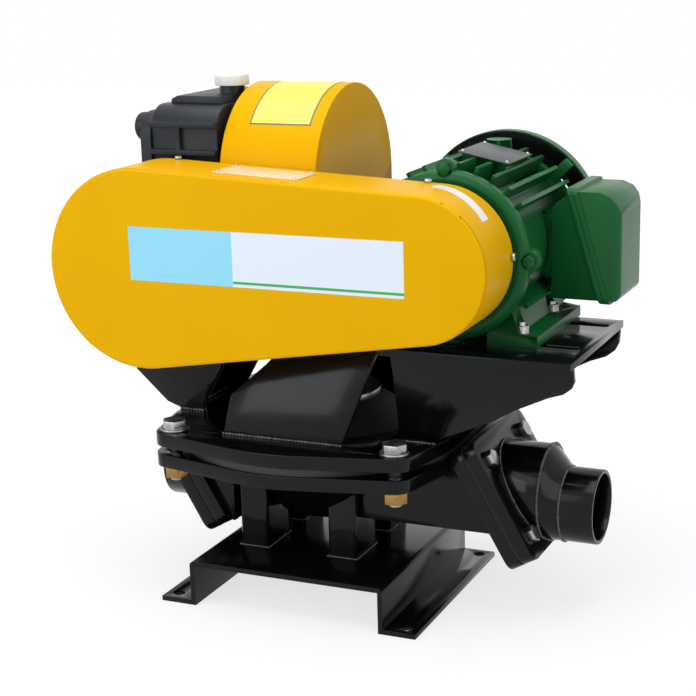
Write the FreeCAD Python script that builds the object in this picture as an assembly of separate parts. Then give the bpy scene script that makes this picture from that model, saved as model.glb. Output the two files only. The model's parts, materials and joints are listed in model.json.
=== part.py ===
import FreeCAD, Part
import math
import os

from FreeCAD import Vector

# Belt-driven diaphragm pump on a skid, in millimetres.
# Origin: centre of the skid on the floor.
# +X runs from suction to discharge, +Y away from the belt guard, +Z up.

# Skid: one folded plate with two feet along Y
deck_top = 57.0
skid_t = 6.0
skid_half_width = 127.0
foot_half_width = 168.0
skid_half_length = 137.5
foot_hole_x = 152.0
foot_hole_y = 123.0
foot_hole_r = 7.0

# Four posts of rectangular tube between skid and pump body
post_width = 38.0
post_depth = 60.0
post_wall = 4.0
post_left_x = -74.6
post_right_x = 44.6
post_offset_y = 51.1

# Pump centre line and the two ring plates that clamp the diaphragm
pump_y = 15.5
plate_t = 16.0
lower_plate_z = 177.8
ring_r = 191.7
ring_side_x = 180.0
bolt_beyond_ring = 9.68
ear_margin = 22.0
ring_opening_r = 122.5
bead_t = 9.6
rubber_gap = 0.3
ring_bolt_r = 8.0
bolt_clearance = 0.6
ring_bolt_head_h = 10.0
ring_bolt_af = 26.0
ring_nut_h = 13.0
washer_t = 3.0
washer_r = 17.0

# Pump bowl under the lower plate
bowl_top_r = 131.5
bowl_floor_r = 70.0
bowl_floor_z = 100.0
bowl_wall = 7.0
port_r = 31.0
port_z = 139.0
neck_outer_r = 38.0

# Inclined valve seats: each flange pair leans this much from vertical
seat_tilt = 30.0
valve_flange_t = 16.0
gasket_t = 2.0
flange_half_width = 85.0
flange_bolt_y = 60.0
flange_bolt_r = 6.0
flange_bolt_af = 18.0
flange_bolt_head_h = 8.0
blind_hole_left = 2.0
flange_corner = 14.0
flap_rubber_t = 5.0
flap_plate_t = 6.0
hinge_pin_r = 4.0
hinge_running = 0.05
knuckle_r = 6.0
knuckle_w = 16.0
hinge_ear_t = 5.0
hinge_side_gap = 0.5
hinge_height = 7.0
hinge_beyond_flap = 5.0

# Suction side
suction_seat_x = -154.5
suction_z = 130.0
suction_flange_low = -62.0
suction_flange_high = 55.0
suction_bolt_low = -50.0
suction_bolt_high = 25.0
suction_seat_r = 26.0
suction_flap_r = 34.0
suction_opening_r = 46.0
suction_pipe_r = 44.45
suction_pipe_wall = 5.0
suction_end_x = -222.0
suction_end_length = 25.5
suction_collar_t = 3.0
chamber_half_width = 75.0
chamber_floor_z = 85.0
chamber_right_x = -104.0
chamber_wall = 6.0

# Discharge side
discharge_seat_x = 235.7
discharge_z = 144.0
discharge_flange_half_h = 77.0
discharge_bolt_s = 50.0
discharge_seat_r = 33.0
discharge_flap_r = 42.0
big_pipe_r = 57.15
big_pipe_wall = 4.5
big_pipe_end_x = 282.5
reducer_cone_length = 22.0
small_pipe_r = 44.45
small_pipe_wall = 5.0
discharge_end_x = 345.0
duct_half_width = 70.0
duct_floor_z = 108.0
duct_top_z = 200.0
duct_wall = 6.0

# Drive deck, motor platform and their supports
deck_plate_top = 337.0
deck_plate_t = 8.0
drive_deck_left_x = -243.0
deck_joint_x = 60.0
guard_rear_y = -90.0
drive_deck_rear_y = 137.0
rod_window_half_x = 26.0
rod_window_half_y = 48.0
platform_right_x = 344.0
platform_front_y = -114.0
platform_rear_y = 102.0
platform_step_x = 118.0
bracket_t = 8.0
pedestal_half_depth = 60.5
skirt_lean = 34.0
brace_lean = 35.6
brace_foot_y = 137.5

# Worm gearbox
gearbox_left_x = -181.0
gearbox_right_x = -94.0
gearbox_half_depth = 91.0
gearbox_top_z = 597.0
gearbox_wall = 9.0
side_cover_t = 14.0
side_cover_lip = 3.0
side_cover_drop = 8.0
gearbox_shoulder = 28.0
crank_bearing_w = 15.0
crank_bearing_inset = 3.0
worm_bearing_r = 26.0
worm_shaft_r = 15.0
bearing_len = 15.0
bearing_seat_wall = 8.0
rib_t = 6.0
rib_depth = 7.0
upper_rib_drop = 24.0
lower_rib_drop = 56.0
upright_rib_x = -143.0
upright_rib_drop = 127.0
casing_foot_t = 14.0
plug_y = -46.0
plug_z = 569.0
plug_r = 17.0
plug_length = 19.0
worm_x = -150.0
worm_z = 422.0
crank_z = 507.0
worm_tip_r = 24.0
mesh_gap = 0.5
wheel_width = 28.0
shaft_gap = 0.03

# Crank, connecting rod and plunger
throw = 16.0
crank_shaft_r = 17.0
eccentric_r = 36.0
eccentric_half_w = 14.0
rod_eye_wall = 11.0
rod_half_w = 10.0
rod_length = 212.0
wrist_eye_r = 17.0
wrist_pin_r = 8.0
fork_side_gap = 1.0
fork_cheek_t = 10.0
clamp_plate_r = 60.0
clamp_plate_t = 8.0
diaphragm_inset = 1.7
diaphragm_rise = 38.0
plunger_bolt_r = 8.0

# Crank hood
hood_left_x = -87.5
hood_right_x = 35.0
hood_y = 24.3
hood_r = 111.0
hood_t = 2.0

# Foot motor
motor_x = 185.0
motor_z = deck_plate_top + 100.0
motor_front_y = -73.0
end_shield_r = 96.5
end_shield_t = 15.0
motor_body_r = 84.0
motor_bore_r = 70.0
fin_tip_r = 103.0
fin_t = 4.6
fin_count = 30
motor_body_end_y = 130.0
rear_shield_t = 12.0
hub_r = 36.0
hub_front_y = -104.0
bearing_outer_r = 31.0
bearing_inner_r = 15.0
bearing_w = 16.0
rotor_r = 52.0
rotor_air_gap = 0.8
drive_shaft_r = 14.0
drive_shaft_end_y = -166.0
cowl_r = 116.0
cowl_t = 2.0
cowl_front_y = 142.0
cowl_rear_y = 198.0
cowl_band = 14.0
cowl_back_r = 84.0
fan_r = 84.0
foot_bolt_x = 80.0
foot_bolt_y1 = -44.0
foot_bolt_y2 = 68.0
foot_bolt_r = 5.0
foot_t = 12.0
shield_bolt_circle = 98.0
shield_boss_back = 5.0
name_plate_tilt = 12.0
name_plate_r = 104.0
slot_width = 12.0
slot_right_x = 280.5
slot_right_half = 49.5
slot_left_half = 20.0

# Terminal box on the motor's discharge side
box_left_x = 275.0
box_right_x = 356.0
box_front_y = 34.0
box_rear_y = 136.0
box_bottom_z = 374.0
box_top_z = 499.0
box_split_top_x = 300.0
box_split_bottom_x = 338.0
box_lip = 4.0
box_lip_w = 6.0
box_joint_gap = 0.2
box_shoulder = 22.0
box_wall = 4.0

# Belt drive and guard
guard_front_y = -176.7
guard_t = 2.0
guard_big_r = 116.0
guard_big_x = -150.0
guard_big_z = 422.4
guard_small_r = 81.3
guard_small_x = 189.8
guard_small_z = 440.9
guard_fit = 0.3
pulley_front_y = -166.0
pulley_rear_y = -112.0
belt_y = (-150.0, -128.0)
belt_width = 13.0
belt_depth = 10.0
belt_clearance = 0.3
big_belt_r = 92.0
small_belt_r = 46.0
pulley_lip = 4.0
back_hole_gap = 8.0

# Derived levels
gap_z0 = lower_plate_z + plate_t
upper_plate_z = gap_z0 + bead_t
upper_plate_top = upper_plate_z + plate_t
deck_bottom = deck_plate_top - deck_plate_t
wheel_tip_r = crank_z - worm_z - worm_tip_r - mesh_gap
crank_top_z = crank_z + throw
wrist_z = crank_top_z - rod_length
diaphragm_r = ring_r - diaphragm_inset
ear_pitch = (ring_r + bolt_beyond_ring) / math.sqrt(2.0)
tilt = math.radians(seat_tilt)

os.makedirs("parts", exist_ok=True)


def save(name, shape):
    """Write one sub-part, after a check that it is sound."""
    if not shape.isValid():
        print("not valid:", name)
    print(name, len(shape.Solids), round(shape.Volume / 1000.0, 1))
    shape.exportStep("parts/" + name + ".step")


def block(x0, x1, y0, y1, z0, z1):
    return Part.makeBox(x1 - x0, y1 - y0, z1 - z0, Vector(x0, y0, z0))


def rod_x(r, x0, x1, y, z):
    return Part.makeCylinder(r, x1 - x0, Vector(x0, y, z), Vector(1, 0, 0))


def rod_y(r, y0, y1, x, z):
    return Part.makeCylinder(r, y1 - y0, Vector(x, y0, z), Vector(0, 1, 0))


def rod_z(r, z0, z1, x, y):
    return Part.makeCylinder(r, z1 - z0, Vector(x, y, z0), Vector(0, 0, 1))


def prism_y(points, y0, y1):
    """Polygon in the XZ plane, pushed from y0 to y1."""
    corners = [Vector(x, y0, z) for x, z in points]
    face = Part.Face(Part.makePolygon(corners + corners[:1]))
    return face.extrude(Vector(0, y1 - y0, 0))


def prism_z(points, z0, z1):
    """Polygon in the XY plane, pushed from z0 to z1."""
    corners = [Vector(x, y, z0) for x, y in points]
    face = Part.Face(Part.makePolygon(corners + corners[:1]))
    return face.extrude(Vector(0, 0, z1 - z0))


def turned(points, axis_point, axis):
    """Solid turned from a profile of (radius, height) pairs about an axis along X, Y or Z."""
    side = {"x": Vector(0, 0, 1), "y": Vector(0, 0, 1), "z": Vector(1, 0, 0)}[axis]
    along = {"x": Vector(1, 0, 0), "y": Vector(0, 1, 0), "z": Vector(0, 0, 1)}[axis]
    corners = [axis_point + side * r + along * h for r, h in points]
    face = Part.Face(Part.makePolygon(corners + corners[:1]))
    return face.revolve(axis_point, along, 360)


def hexagon(across_flats, height, base, direction):
    """Hexagon bar that starts at base and runs along direction."""
    r = across_flats / math.sqrt(3.0)
    corners = [Vector(r * math.cos(a), r * math.sin(a),
                      0) for a in [math.radians(60 * k) for k in range(7)]]
    bar = Part.Face(Part.makePolygon(corners)).extrude(Vector(0, 0, height))
    bar.Placement = FreeCAD.Placement(base, FreeCAD.Rotation(Vector(0, 0, 1), direction))
    return bar


def edges_along(shape, direction, length, tolerance=0.5):
    """Straight edges of a given length along a direction, for rounding."""
    found = []
    for edge in shape.Edges:
        if len(edge.Vertexes) == 2 and abs(edge.Length - length) < tolerance:
            way = edge.Vertexes[1].Point - edge.Vertexes[0].Point
            if way.Length > 0 and abs(abs(way.normalize().dot(direction)) - 1) < 1e-6:
                found.append(edge)
    return found


def rounded_block(x0, x1, y0, y1, z0, z1, r, direction):
    """Block with its four edges along one direction rounded."""
    shape = block(x0, x1, y0, y1, z0, z1)
    length = abs(Vector(x1 - x0, y1 - y0, z1 - z0).dot(direction))
    picked = edges_along(shape, direction, length)
    return shape.makeFillet(r, picked)


def loop_face(x1, z1, r1, x2, z2, r2, y):
    """Face inside a band stretched round two circles in the XZ plane."""
    span = math.hypot(x2 - x1, z2 - z1)
    heading = math.atan2(z2 - z1, x2 - x1)
    wrap = math.acos((r1 - r2) / span)

    def on(cx, cz, r, a):
        return Vector(cx + r * math.cos(a), y, cz + r * math.sin(a))

    top1 = on(x1, z1, r1, heading + wrap)
    back = on(x1, z1, r1, heading + math.pi)
    low1 = on(x1, z1, r1, heading - wrap)
    low2 = on(x2, z2, r2, heading - wrap)
    nose = on(x2, z2, r2, heading)
    top2 = on(x2, z2, r2, heading + wrap)
    edges = [Part.Arc(top1, back, low1).toShape(), Part.LineSegment(low1, low2).toShape(),
             Part.Arc(low2, nose, top2).toShape(), Part.LineSegment(top2, top1).toShape()]
    return Part.Face(Part.Wire(edges))


def loop_solid(x1, z1, r1, x2, z2, r2, y0, y1):
    return loop_face(x1, z1, r1, x2, z2, r2, y0).extrude(Vector(0, y1 - y0, 0))


# Skid: deck, two legs and two feet folded from one plate
def skid():
    outer = block(-skid_half_width, skid_half_width, -skid_half_length, skid_half_length, 0, deck_top)
    inner = block(-skid_half_width + skid_t, skid_half_width - skid_t,
                  -skid_half_length - 1, skid_half_length + 1, -1, deck_top - skid_t)
    shape = outer.cut(inner)
    for side in (-1, 1):
        x_in = side * (skid_half_width - skid_t)
        x_out = side * foot_half_width
        foot = block(min(x_in, x_out), max(x_in, x_out), -skid_half_length, skid_half_length, 0, skid_t)
        shape = shape.fuse(foot)
        for y in (-foot_hole_y, foot_hole_y):
            shape = shape.cut(rod_z(foot_hole_r, -1, skid_t + 1, side * foot_hole_x, y))
    shape = shape.removeSplitter()
    folds = edges_along(shape, Vector(0, 1, 0), 2 * skid_half_length)
    outer_folds = [e for e in folds if abs(abs(e.CenterOfMass.x) - skid_half_width) < 0.1
                   and abs(e.CenterOfMass.z - deck_top) < 0.1]
    return shape.makeFillet(skid_t, outer_folds)


save("skid", skid())


# Bowl: a shallow dish with a flat floor, open at the top, with a port on each side
def bowl_outer():
    return turned([(0, bowl_floor_z), (bowl_floor_r - 5, bowl_floor_z), (bowl_floor_r + 2,
                                                                         bowl_floor_z + 3),
                   (bowl_top_r, lower_plate_z), (0, lower_plate_z)], Vector(0, pump_y, 0), "z")


def bowl_inner():
    w = bowl_wall
    thick = ring_opening_r - bowl_top_r
    return turned([(0, bowl_floor_z + w), (bowl_floor_r + thick, bowl_floor_z + w),
                   (ring_opening_r, lower_plate_z), (0, lower_plate_z)], Vector(0, pump_y, 0), "z")


bowl_solid = bowl_outer()
bowl = bowl_solid.cut(bowl_inner())
bowl = bowl.cut(rod_x(port_r, -bowl_top_r - 1, bowl_top_r + 1, pump_y, port_z))
save("bowl", bowl)


# Posts: rectangular tube, coped to the bowl and to the neck of the suction chamber
neck_solid = rod_x(neck_outer_r, chamber_right_x - chamber_wall, 0, pump_y, port_z)


def post(x, y, hollow=True):
    hw, hd = post_width / 2, post_depth / 2
    shape = rounded_block(x - hw, x + hw, y - hd, y + hd, deck_top, lower_plate_z, 5.0, Vector(0, 0, 1))
    if hollow:
        inner = block(x - hw + post_wall, x + hw - post_wall, y - hd + post_wall, y + hd - post_wall,
                      deck_top - 1, lower_plate_z + 1)
        shape = shape.cut(inner).cut(bowl_solid).cut(neck_solid)
        shape = max(shape.Solids, key=lambda s: s.Volume)
    return shape


post_places = [(x, pump_y + side * post_offset_y) for x in (post_left_x, post_right_x) for side in (-1, 1)]
save("posts", Part.makeCompound([post(x, y) for x, y in post_places]))
post_solids = [post(x, y, hollow=False) for x, y in post_places]

# Ring plates: a disc with four ears that run tangent into it, and flat sides towards the valves
ear_centres = [(sx * ear_pitch, pump_y + sy * ear_pitch) for sx in (-1, 1) for sy in (-1, 1)]


def ring_outline(z):
    """Outline of the disc and its ears: short arcs joined by tangent lines."""
    reach = math.hypot(ear_pitch, ear_pitch)
    spread = math.acos((ring_r - ear_margin) / reach)

    def on_ring(a):
        return Vector(ring_r * math.cos(a), pump_y + ring_r * math.sin(a), z)

    def on_ear(k, a):
        heading = math.radians(45 + 90 * k)
        return Vector(reach * math.cos(heading) + ear_margin * math.cos(a),
                      pump_y + reach * math.sin(heading) + ear_margin * math.sin(a), z)

    edges = []
    for k in range(4):
        heading = math.radians(45 + 90 * k)
        start, end = heading - spread, heading + spread
        next_start = end + math.pi / 2 - 2 * spread
        edges.append(Part.LineSegment(on_ring(start), on_ear(k, start)).toShape())
        edges.append(Part.Arc(on_ear(k, start), on_ear(k, heading), on_ear(k, end)).toShape())
        edges.append(Part.LineSegment(on_ear(k, end), on_ring(end)).toShape())
        edges.append(Part.Arc(on_ring(end), on_ring((end + next_start) / 2), on_ring(next_start)).toShape())
    return Part.Face(Part.Wire(edges))


def ring_plate(z0):
    shape = ring_outline(z0).extrude(Vector(0, 0, plate_t))
    shape = shape.common(block(-ring_side_x, ring_side_x, -2 * ring_r, 2 * ring_r, z0, z0 + plate_t))
    shape = shape.cut(rod_z(ring_opening_r, z0 - 1, z0 + plate_t + 1, 0, pump_y))
    for x, y in ear_centres:
        shape = shape.cut(rod_z(ring_bolt_r + bolt_clearance, z0 - 1, z0 + plate_t + 1, x, y))
    return shape.removeSplitter()


save("lower_ring_plate", ring_plate(lower_plate_z))
save("upper_ring_plate", ring_plate(upper_plate_z))

ring_bolts = []
ring_nuts = []
ring_washers = []
for x, y in ear_centres:
    head_z = upper_plate_top + washer_t
    head = hexagon(ring_bolt_af, ring_bolt_head_h, Vector(x, y, head_z), Vector(0, 0, 1))
    tip_z = lower_plate_z - ring_nut_h - washer_t - 4.0
    ring_bolts.append(head.fuse(rod_z(ring_bolt_r, tip_z, head_z, x, y)).removeSplitter())
    washer_top = rod_z(washer_r, upper_plate_top, head_z, x, y)
    washer_low = rod_z(washer_r, lower_plate_z - washer_t, lower_plate_z, x, y)
    bore = rod_z(ring_bolt_r + 0.3, tip_z, head_z, x, y)
    ring_washers.extend([washer_top.cut(bore), washer_low.cut(bore)])
    nut_z = lower_plate_z - washer_t - ring_nut_h
    nut = hexagon(ring_bolt_af, ring_nut_h, Vector(x, y, nut_z), Vector(0, 0, 1))
    ring_nuts.append(nut.cut(rod_z(ring_bolt_r, tip_z, head_z, x, y)))
save("ring_bolts", Part.makeCompound(ring_bolts))
save("ring_nuts_washers", Part.makeCompound(ring_nuts + ring_washers))


# Valve stations. A station's plane passes through its centre and leans back by seat_tilt.
# n runs out of the seat towards the discharge, s runs up the seat, y runs along the hinge.
def station(centre_x, centre_z):
    origin = Vector(centre_x, pump_y, centre_z)
    turn = FreeCAD.Rotation(Vector(0, 1, 0), 90.0 - seat_tilt)
    return FreeCAD.Placement(origin, turn)


def to_seat(shape, place):
    """Shape drawn with n along Z, s along -X and the hinge along Y, moved to its station."""
    moved = shape.copy()
    moved.Placement = place.multiply(moved.Placement)
    return moved


def local_block(s0, s1, y0, y1, n0, n1):
    return block(-s1, -s0, y0, y1, n0, n1)


def local_disc(r, s, n0, n1, y=0.0):
    return rod_z(r, n0, n1, -s, y)


def flange_plate(low, high, bolts, n0, n1, hole_r):
    """Rounded plate between two heights of the seat, with a row of two holes at each bolt height."""
    shape = rounded_block(-high, -low, -flange_half_width, flange_half_width, n0, n1, flange_corner,
                          Vector(0, 0, 1))
    for s in bolts:
        for y in (-flange_bolt_y, flange_bolt_y):
            shape = shape.cut(local_disc(hole_r, s, n0 - 1, n1 + 1, y))
    return shape


def hinge_ears(hinge_s):
    inner = knuckle_w / 2 + hinge_side_gap
    ears = []
    for side in (-1, 1):
        y0, y1 = sorted((side * inner, side * (inner + hinge_ear_t)))
        ears.append(local_block(hinge_s - 5, hinge_s + 5, y0, y1, -1, hinge_height))
        ears.append(rod_y(5.0, y0, y1, -hinge_s, hinge_height).copy())
    return ears


def local_rod_y(r, y0, y1, s, n):
    return rod_y(r, y0, y1, -s, n)


def seat_flange(low, high, bolts, hole_r, hinge_s):
    """Flange that carries the two ears of the hinge."""
    shape = flange_plate(low, high, bolts, -valve_flange_t, 0, hole_r)
    shape = shape.fuse(hinge_ears(hinge_s))
    reach = knuckle_w / 2 + hinge_side_gap + hinge_ear_t + 2
    return shape.cut(local_rod_y(hinge_pin_r, -reach, reach, hinge_s, hinge_height)).removeSplitter()


def hinge_pin(hinge_s):
    reach = knuckle_w / 2 + hinge_side_gap + hinge_ear_t
    return local_rod_y(hinge_pin_r, -reach, reach, hinge_s, hinge_height)


def flap_rubber(flap_r):
    return local_disc(flap_r, 0, rubber_gap, rubber_gap + flap_rubber_t)


def flap_plate(flap_r, hinge_s):
    """Steel backing disc with the knuckle that turns on the hinge pin."""
    low = rubber_gap + flap_rubber_t
    disc = local_disc(flap_r - 7, 0, low, low + flap_plate_t)
    tail = local_block(0, hinge_s, -knuckle_w / 2, knuckle_w / 2, low, low + flap_plate_t)
    knuckle = local_rod_y(knuckle_r, -knuckle_w / 2, knuckle_w / 2, hinge_s, hinge_height)
    shape = disc.fuse([tail, knuckle]).cut(local_disc(flap_r + 0.2, 0, -2, low))
    return shape.cut(local_rod_y(hinge_pin_r + hinge_running, -knuckle_w, knuckle_w, hinge_s, hinge_height))


def flange_gasket(low, high, bolts):
    inset = 1.0
    shape = rounded_block(-high + inset, -low - inset, -flange_half_width + inset,
                          flange_half_width - inset,
                          0, gasket_t, flange_corner, Vector(0, 0, 1))
    for s in bolts:
        for y in (-flange_bolt_y, flange_bolt_y):
            shape = shape.cut(local_disc(flange_bolt_r + bolt_clearance, s, -1, gasket_t + 1, y))
    return shape


def flange_bolts(bolts, head_n, tip_n):
    """Bolts with a head at head_n whose threads end blind at tip_n."""
    made = []
    way = 1 if head_n > tip_n else -1
    for s in bolts:
        for y in (-flange_bolt_y, flange_bolt_y):
            head = hexagon(flange_bolt_af, flange_bolt_head_h, Vector(-s, y, head_n), Vector(0, 0, way))
            shank = local_disc(flange_bolt_r, s, min(head_n, tip_n), max(head_n, tip_n), y)
            made.append(head.fuse(shank).removeSplitter())
    return Part.makeCompound(made)


def blind_holes(bolts, n0, n1):
    return Part.makeCompound([local_disc(flange_bolt_r, s, n0, n1, y) for s in bolts
                              for y in (-flange_bolt_y, flange_bolt_y)])


def half_space(place, n, side):
    """Large block on one side of a station's plane at height n."""
    reach = 600.0
    if side > 0:
        shape = block(-reach, reach, -reach, reach, n, n + reach)
    else:
        shape = block(-reach, reach, -reach, reach, n - reach, n)
    return to_seat(shape, place)


suction = station(suction_seat_x, suction_z)
discharge = station(discharge_seat_x, discharge_z)
outer_face = gasket_t + valve_flange_t
under_ring = block(-2 * ring_r, 2 * ring_r, -2 * ring_r, 2 * ring_r, lower_plate_z, lower_plate_z + ring_r)

# Suction side: stub pipe with its weld collar, seat flange, gasket and flap.
# The bolts thread blind into the chamber flange.
suction_bolts = (suction_bolt_low, suction_bolt_high)
suction_range = (suction_flange_low, suction_flange_high, suction_bolts)
suction_hinge_s = suction_flap_r + hinge_beyond_flap
loose_r = flange_bolt_r + bolt_clearance / 2
seat = to_seat(seat_flange(*suction_range, loose_r, suction_hinge_s), suction)
seat = seat.cut(rod_x(suction_seat_r, suction_seat_x - 60, suction_seat_x + 60, pump_y, suction_z))
save("suction_seat_flange", seat.cut(under_ring))
bore_r = suction_pipe_r - suction_pipe_wall
stub_bore = rod_x(bore_r, suction_end_x - 1, suction_seat_x + 61, pump_y, suction_z)
collar_r = suction_pipe_r + suction_collar_t
collar = rod_x(collar_r, suction_end_x + suction_end_length, suction_seat_x + 60, pump_y, suction_z)
stub = rod_x(suction_pipe_r, suction_end_x, suction_seat_x + 60, pump_y, suction_z)
stub = stub.fuse(collar).cut(stub_bore)
save("suction_pipe", stub.cut(half_space(suction, -valve_flange_t, 1)))
suction_opening = rod_x(suction_opening_r, suction_seat_x - 60, suction_seat_x + 60, pump_y, suction_z)
gasket = to_seat(flange_gasket(*suction_range), suction)
gaskets = [gasket.cut(suction_opening).cut(under_ring)]
hinge_pins = [to_seat(hinge_pin(suction_hinge_s), suction)]
save("suction_flap", to_seat(flap_rubber(suction_flap_r), suction))
save("suction_flap_plate", to_seat(flap_plate(suction_flap_r, suction_hinge_s), suction))
tip_n = outer_face - blind_hole_left
suction_fixings = to_seat(flange_bolts(suction_bolts, -valve_flange_t, tip_n), suction)

# Suction chamber: inner flange, welded box that the lower ring plate closes, and a neck into the bowl
inner_flange = flange_plate(suction_flange_low, suction_flange_high, (), gasket_t, outer_face,
                            flange_bolt_r)
inner_flange = inner_flange.cut(blind_holes(suction_bolts, 0, tip_n))
inner_flange = to_seat(inner_flange, suction).cut(suction_opening)
save("suction_chamber_flange", inner_flange.cut(under_ring))
chamber_y0 = pump_y - chamber_half_width
chamber_y1 = pump_y + chamber_half_width
chamber = block(suction_seat_x - 60, chamber_right_x, chamber_y0, chamber_y1, chamber_floor_z,
                lower_plate_z)
cavity = block(suction_seat_x - 60, chamber_right_x - chamber_wall, chamber_y0 + chamber_wall,
               chamber_y1 - chamber_wall, chamber_floor_z + chamber_wall, lower_plate_z + 1)
chamber = chamber.cut(cavity).fuse(neck_solid)
chamber = chamber.cut(rod_x(port_r, chamber_right_x - 30, 1, pump_y, port_z))
chamber = chamber.cut(half_space(suction, outer_face, -1)).cut(bowl_solid).removeSplitter()
save("suction_chamber", max(chamber.Solids, key=lambda s: s.Volume))

# Discharge side: welded box from the bowl to the seat flange, rising beyond the ring plates
discharge_bolts = (-discharge_bolt_s, discharge_bolt_s)
discharge_range = (-discharge_flange_half_h, discharge_flange_half_h, discharge_bolts)
discharge_hinge_s = discharge_flap_r + hinge_beyond_flap
seat = flange_plate(-discharge_flange_half_h, discharge_flange_half_h, (), -valve_flange_t, 0,
                    flange_bolt_r)
seat = seat.cut(blind_holes(discharge_bolts, -valve_flange_t + blind_hole_left, 1))
seat = seat.fuse(hinge_ears(discharge_hinge_s))
seat = seat.cut(local_rod_y(hinge_pin_r, -20, 20, discharge_hinge_s, hinge_height))
seat = to_seat(seat.removeSplitter(), discharge)
seat_bore = rod_x(discharge_seat_r, discharge_seat_x - 60, discharge_seat_x + 60, pump_y, discharge_z)
save("discharge_seat_flange", seat.cut(seat_bore))


def discharge_duct():
    w = duct_wall
    beyond = ring_side_x + 0.5
    end = discharge_seat_x + 60
    outer = [(bowl_floor_r / 2, duct_floor_z), (end, duct_floor_z), (end, duct_top_z), (beyond, duct_top_z),
             (beyond, lower_plate_z), (bowl_floor_r / 2, lower_plate_z)]
    inner = [(bowl_floor_r / 2 - 1, duct_floor_z + w), (end + 1, duct_floor_z + w), (end + 1,
                                                                                     duct_top_z - w),
             (beyond + w, duct_top_z - w), (beyond + w, lower_plate_z - w),
             (bowl_floor_r / 2 - 1, lower_plate_z - w)]
    shape = prism_y(outer, pump_y - duct_half_width, pump_y + duct_half_width)
    shape = shape.cut(prism_y(inner, pump_y - duct_half_width + w, pump_y + duct_half_width - w))
    shape = shape.cut(half_space(discharge, -valve_flange_t, 1)).cut(bowl_solid).cut(post_solids)
    return max(shape.Solids, key=lambda s: s.Volume)


save("discharge_duct", discharge_duct())

# Discharge pipe side: gasket, flange, pipe and eccentric reducer with a flat underside
gasket_hole_r = big_pipe_r - big_pipe_wall
pipe_bore = rod_x(gasket_hole_r, discharge_seat_x - 80, big_pipe_end_x + 1, pump_y, discharge_z)
gaskets.append(to_seat(flange_gasket(*discharge_range), discharge).cut(pipe_bore))
save("flange_gaskets", Part.makeCompound(gaskets))
hinge_pins.append(to_seat(hinge_pin(discharge_hinge_s), discharge))
save("flap_hinge_pins", Part.makeCompound(hinge_pins))
save("discharge_flap", to_seat(flap_rubber(discharge_flap_r), discharge))
save("discharge_flap_plate", to_seat(flap_plate(discharge_flap_r, discharge_hinge_s), discharge))
tip_n = -valve_flange_t + blind_hole_left
discharge_fixings = to_seat(flange_bolts(discharge_bolts, outer_face, tip_n), discharge)
save("flange_bolts", Part.makeCompound(suction_fixings.Solids + discharge_fixings.Solids))
pipe = rod_x(big_pipe_r, discharge_seat_x - 60, big_pipe_end_x, pump_y, discharge_z).cut(pipe_bore)
save("discharge_pipe", pipe.cut(half_space(discharge, outer_face, -1)))
drop = big_pipe_r - small_pipe_r
small_z = discharge_z - drop
cone_end_x = big_pipe_end_x + reducer_cone_length


def eccentric_cone(r1, r2, z2, x0, x1):
    first = Part.Wire(Part.makeCircle(r1, Vector(x0, pump_y, discharge_z), Vector(1, 0, 0)))
    last = Part.Wire(Part.makeCircle(r2, Vector(x1, pump_y, z2), Vector(1, 0, 0)))
    return Part.makeLoft([first, last], True, True)


reducer = eccentric_cone(big_pipe_r, small_pipe_r, small_z, big_pipe_end_x, cone_end_x)
reducer = reducer.fuse(rod_x(small_pipe_r, cone_end_x, discharge_end_x, pump_y, small_z))
small_bore_r = small_pipe_r - small_pipe_wall
pipe_flange = to_seat(flange_plate(*discharge_range, gasket_t, outer_face, loose_r), discharge)
save("discharge_pipe_flange", pipe_flange.cut(pipe_bore).cut(reducer))
bore = eccentric_cone(gasket_hole_r, small_bore_r, small_z, big_pipe_end_x, cone_end_x)
bore = bore.fuse(rod_x(small_bore_r, cone_end_x, discharge_end_x, pump_y, small_z))
save("discharge_reducer", reducer.cut(bore).removeSplitter())


# Diaphragm: flat rim between the plates, cone, raised centre
def diaphragm():
    half = bead_t / 2 - rubber_gap
    mid = gap_z0 + bead_t / 2
    crown = mid + diaphragm_rise
    bend_out = ring_opening_r - 4
    bend_in = clamp_plate_r + 2
    hole = plunger_bolt_r + rubber_gap
    profile = [(hole, crown + half), (bend_in, crown + half), (bend_out, mid + half), (diaphragm_r,
                                                                                       mid + half),
               (diaphragm_r, mid - half), (bend_out - 2, mid - half), (bend_in - 2, crown - half),
               (hole, crown - half)]
    shape = turned(profile, Vector(0, pump_y, 0), "z")
    side = ring_side_x - 1.0
    return shape.common(block(-side, side, -300, 300, 0, 400))


save("diaphragm", diaphragm())
crown_top = gap_z0 + bead_t + diaphragm_rise
crown_low = gap_z0 + diaphragm_rise


def drilled_disc(r, z0, z1, hole):
    return rod_z(r, z0, z1, 0, pump_y).cut(rod_z(hole, z0 - 1, z1 + 1, 0, pump_y))


clamps = [drilled_disc(clamp_plate_r, crown_top, crown_top + clamp_plate_t, plunger_bolt_r),
          drilled_disc(clamp_plate_r, crown_low - clamp_plate_t, crown_low, plunger_bolt_r)]
save("clamp_plates", Part.makeCompound(clamps))
bolt_head_z = crown_low - clamp_plate_t
fork_z = crown_top + clamp_plate_t
fork_base_t = 10.0
plunger_bolt = rod_z(plunger_bolt_r, bolt_head_z, fork_z + fork_base_t - 2, 0, pump_y)
plunger_head = hexagon(ring_bolt_af, 9.0, Vector(0, pump_y, bolt_head_z - 9.0), Vector(0, 0, 1))
save("plunger_bolt", plunger_bolt.fuse(plunger_head).removeSplitter())


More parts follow.
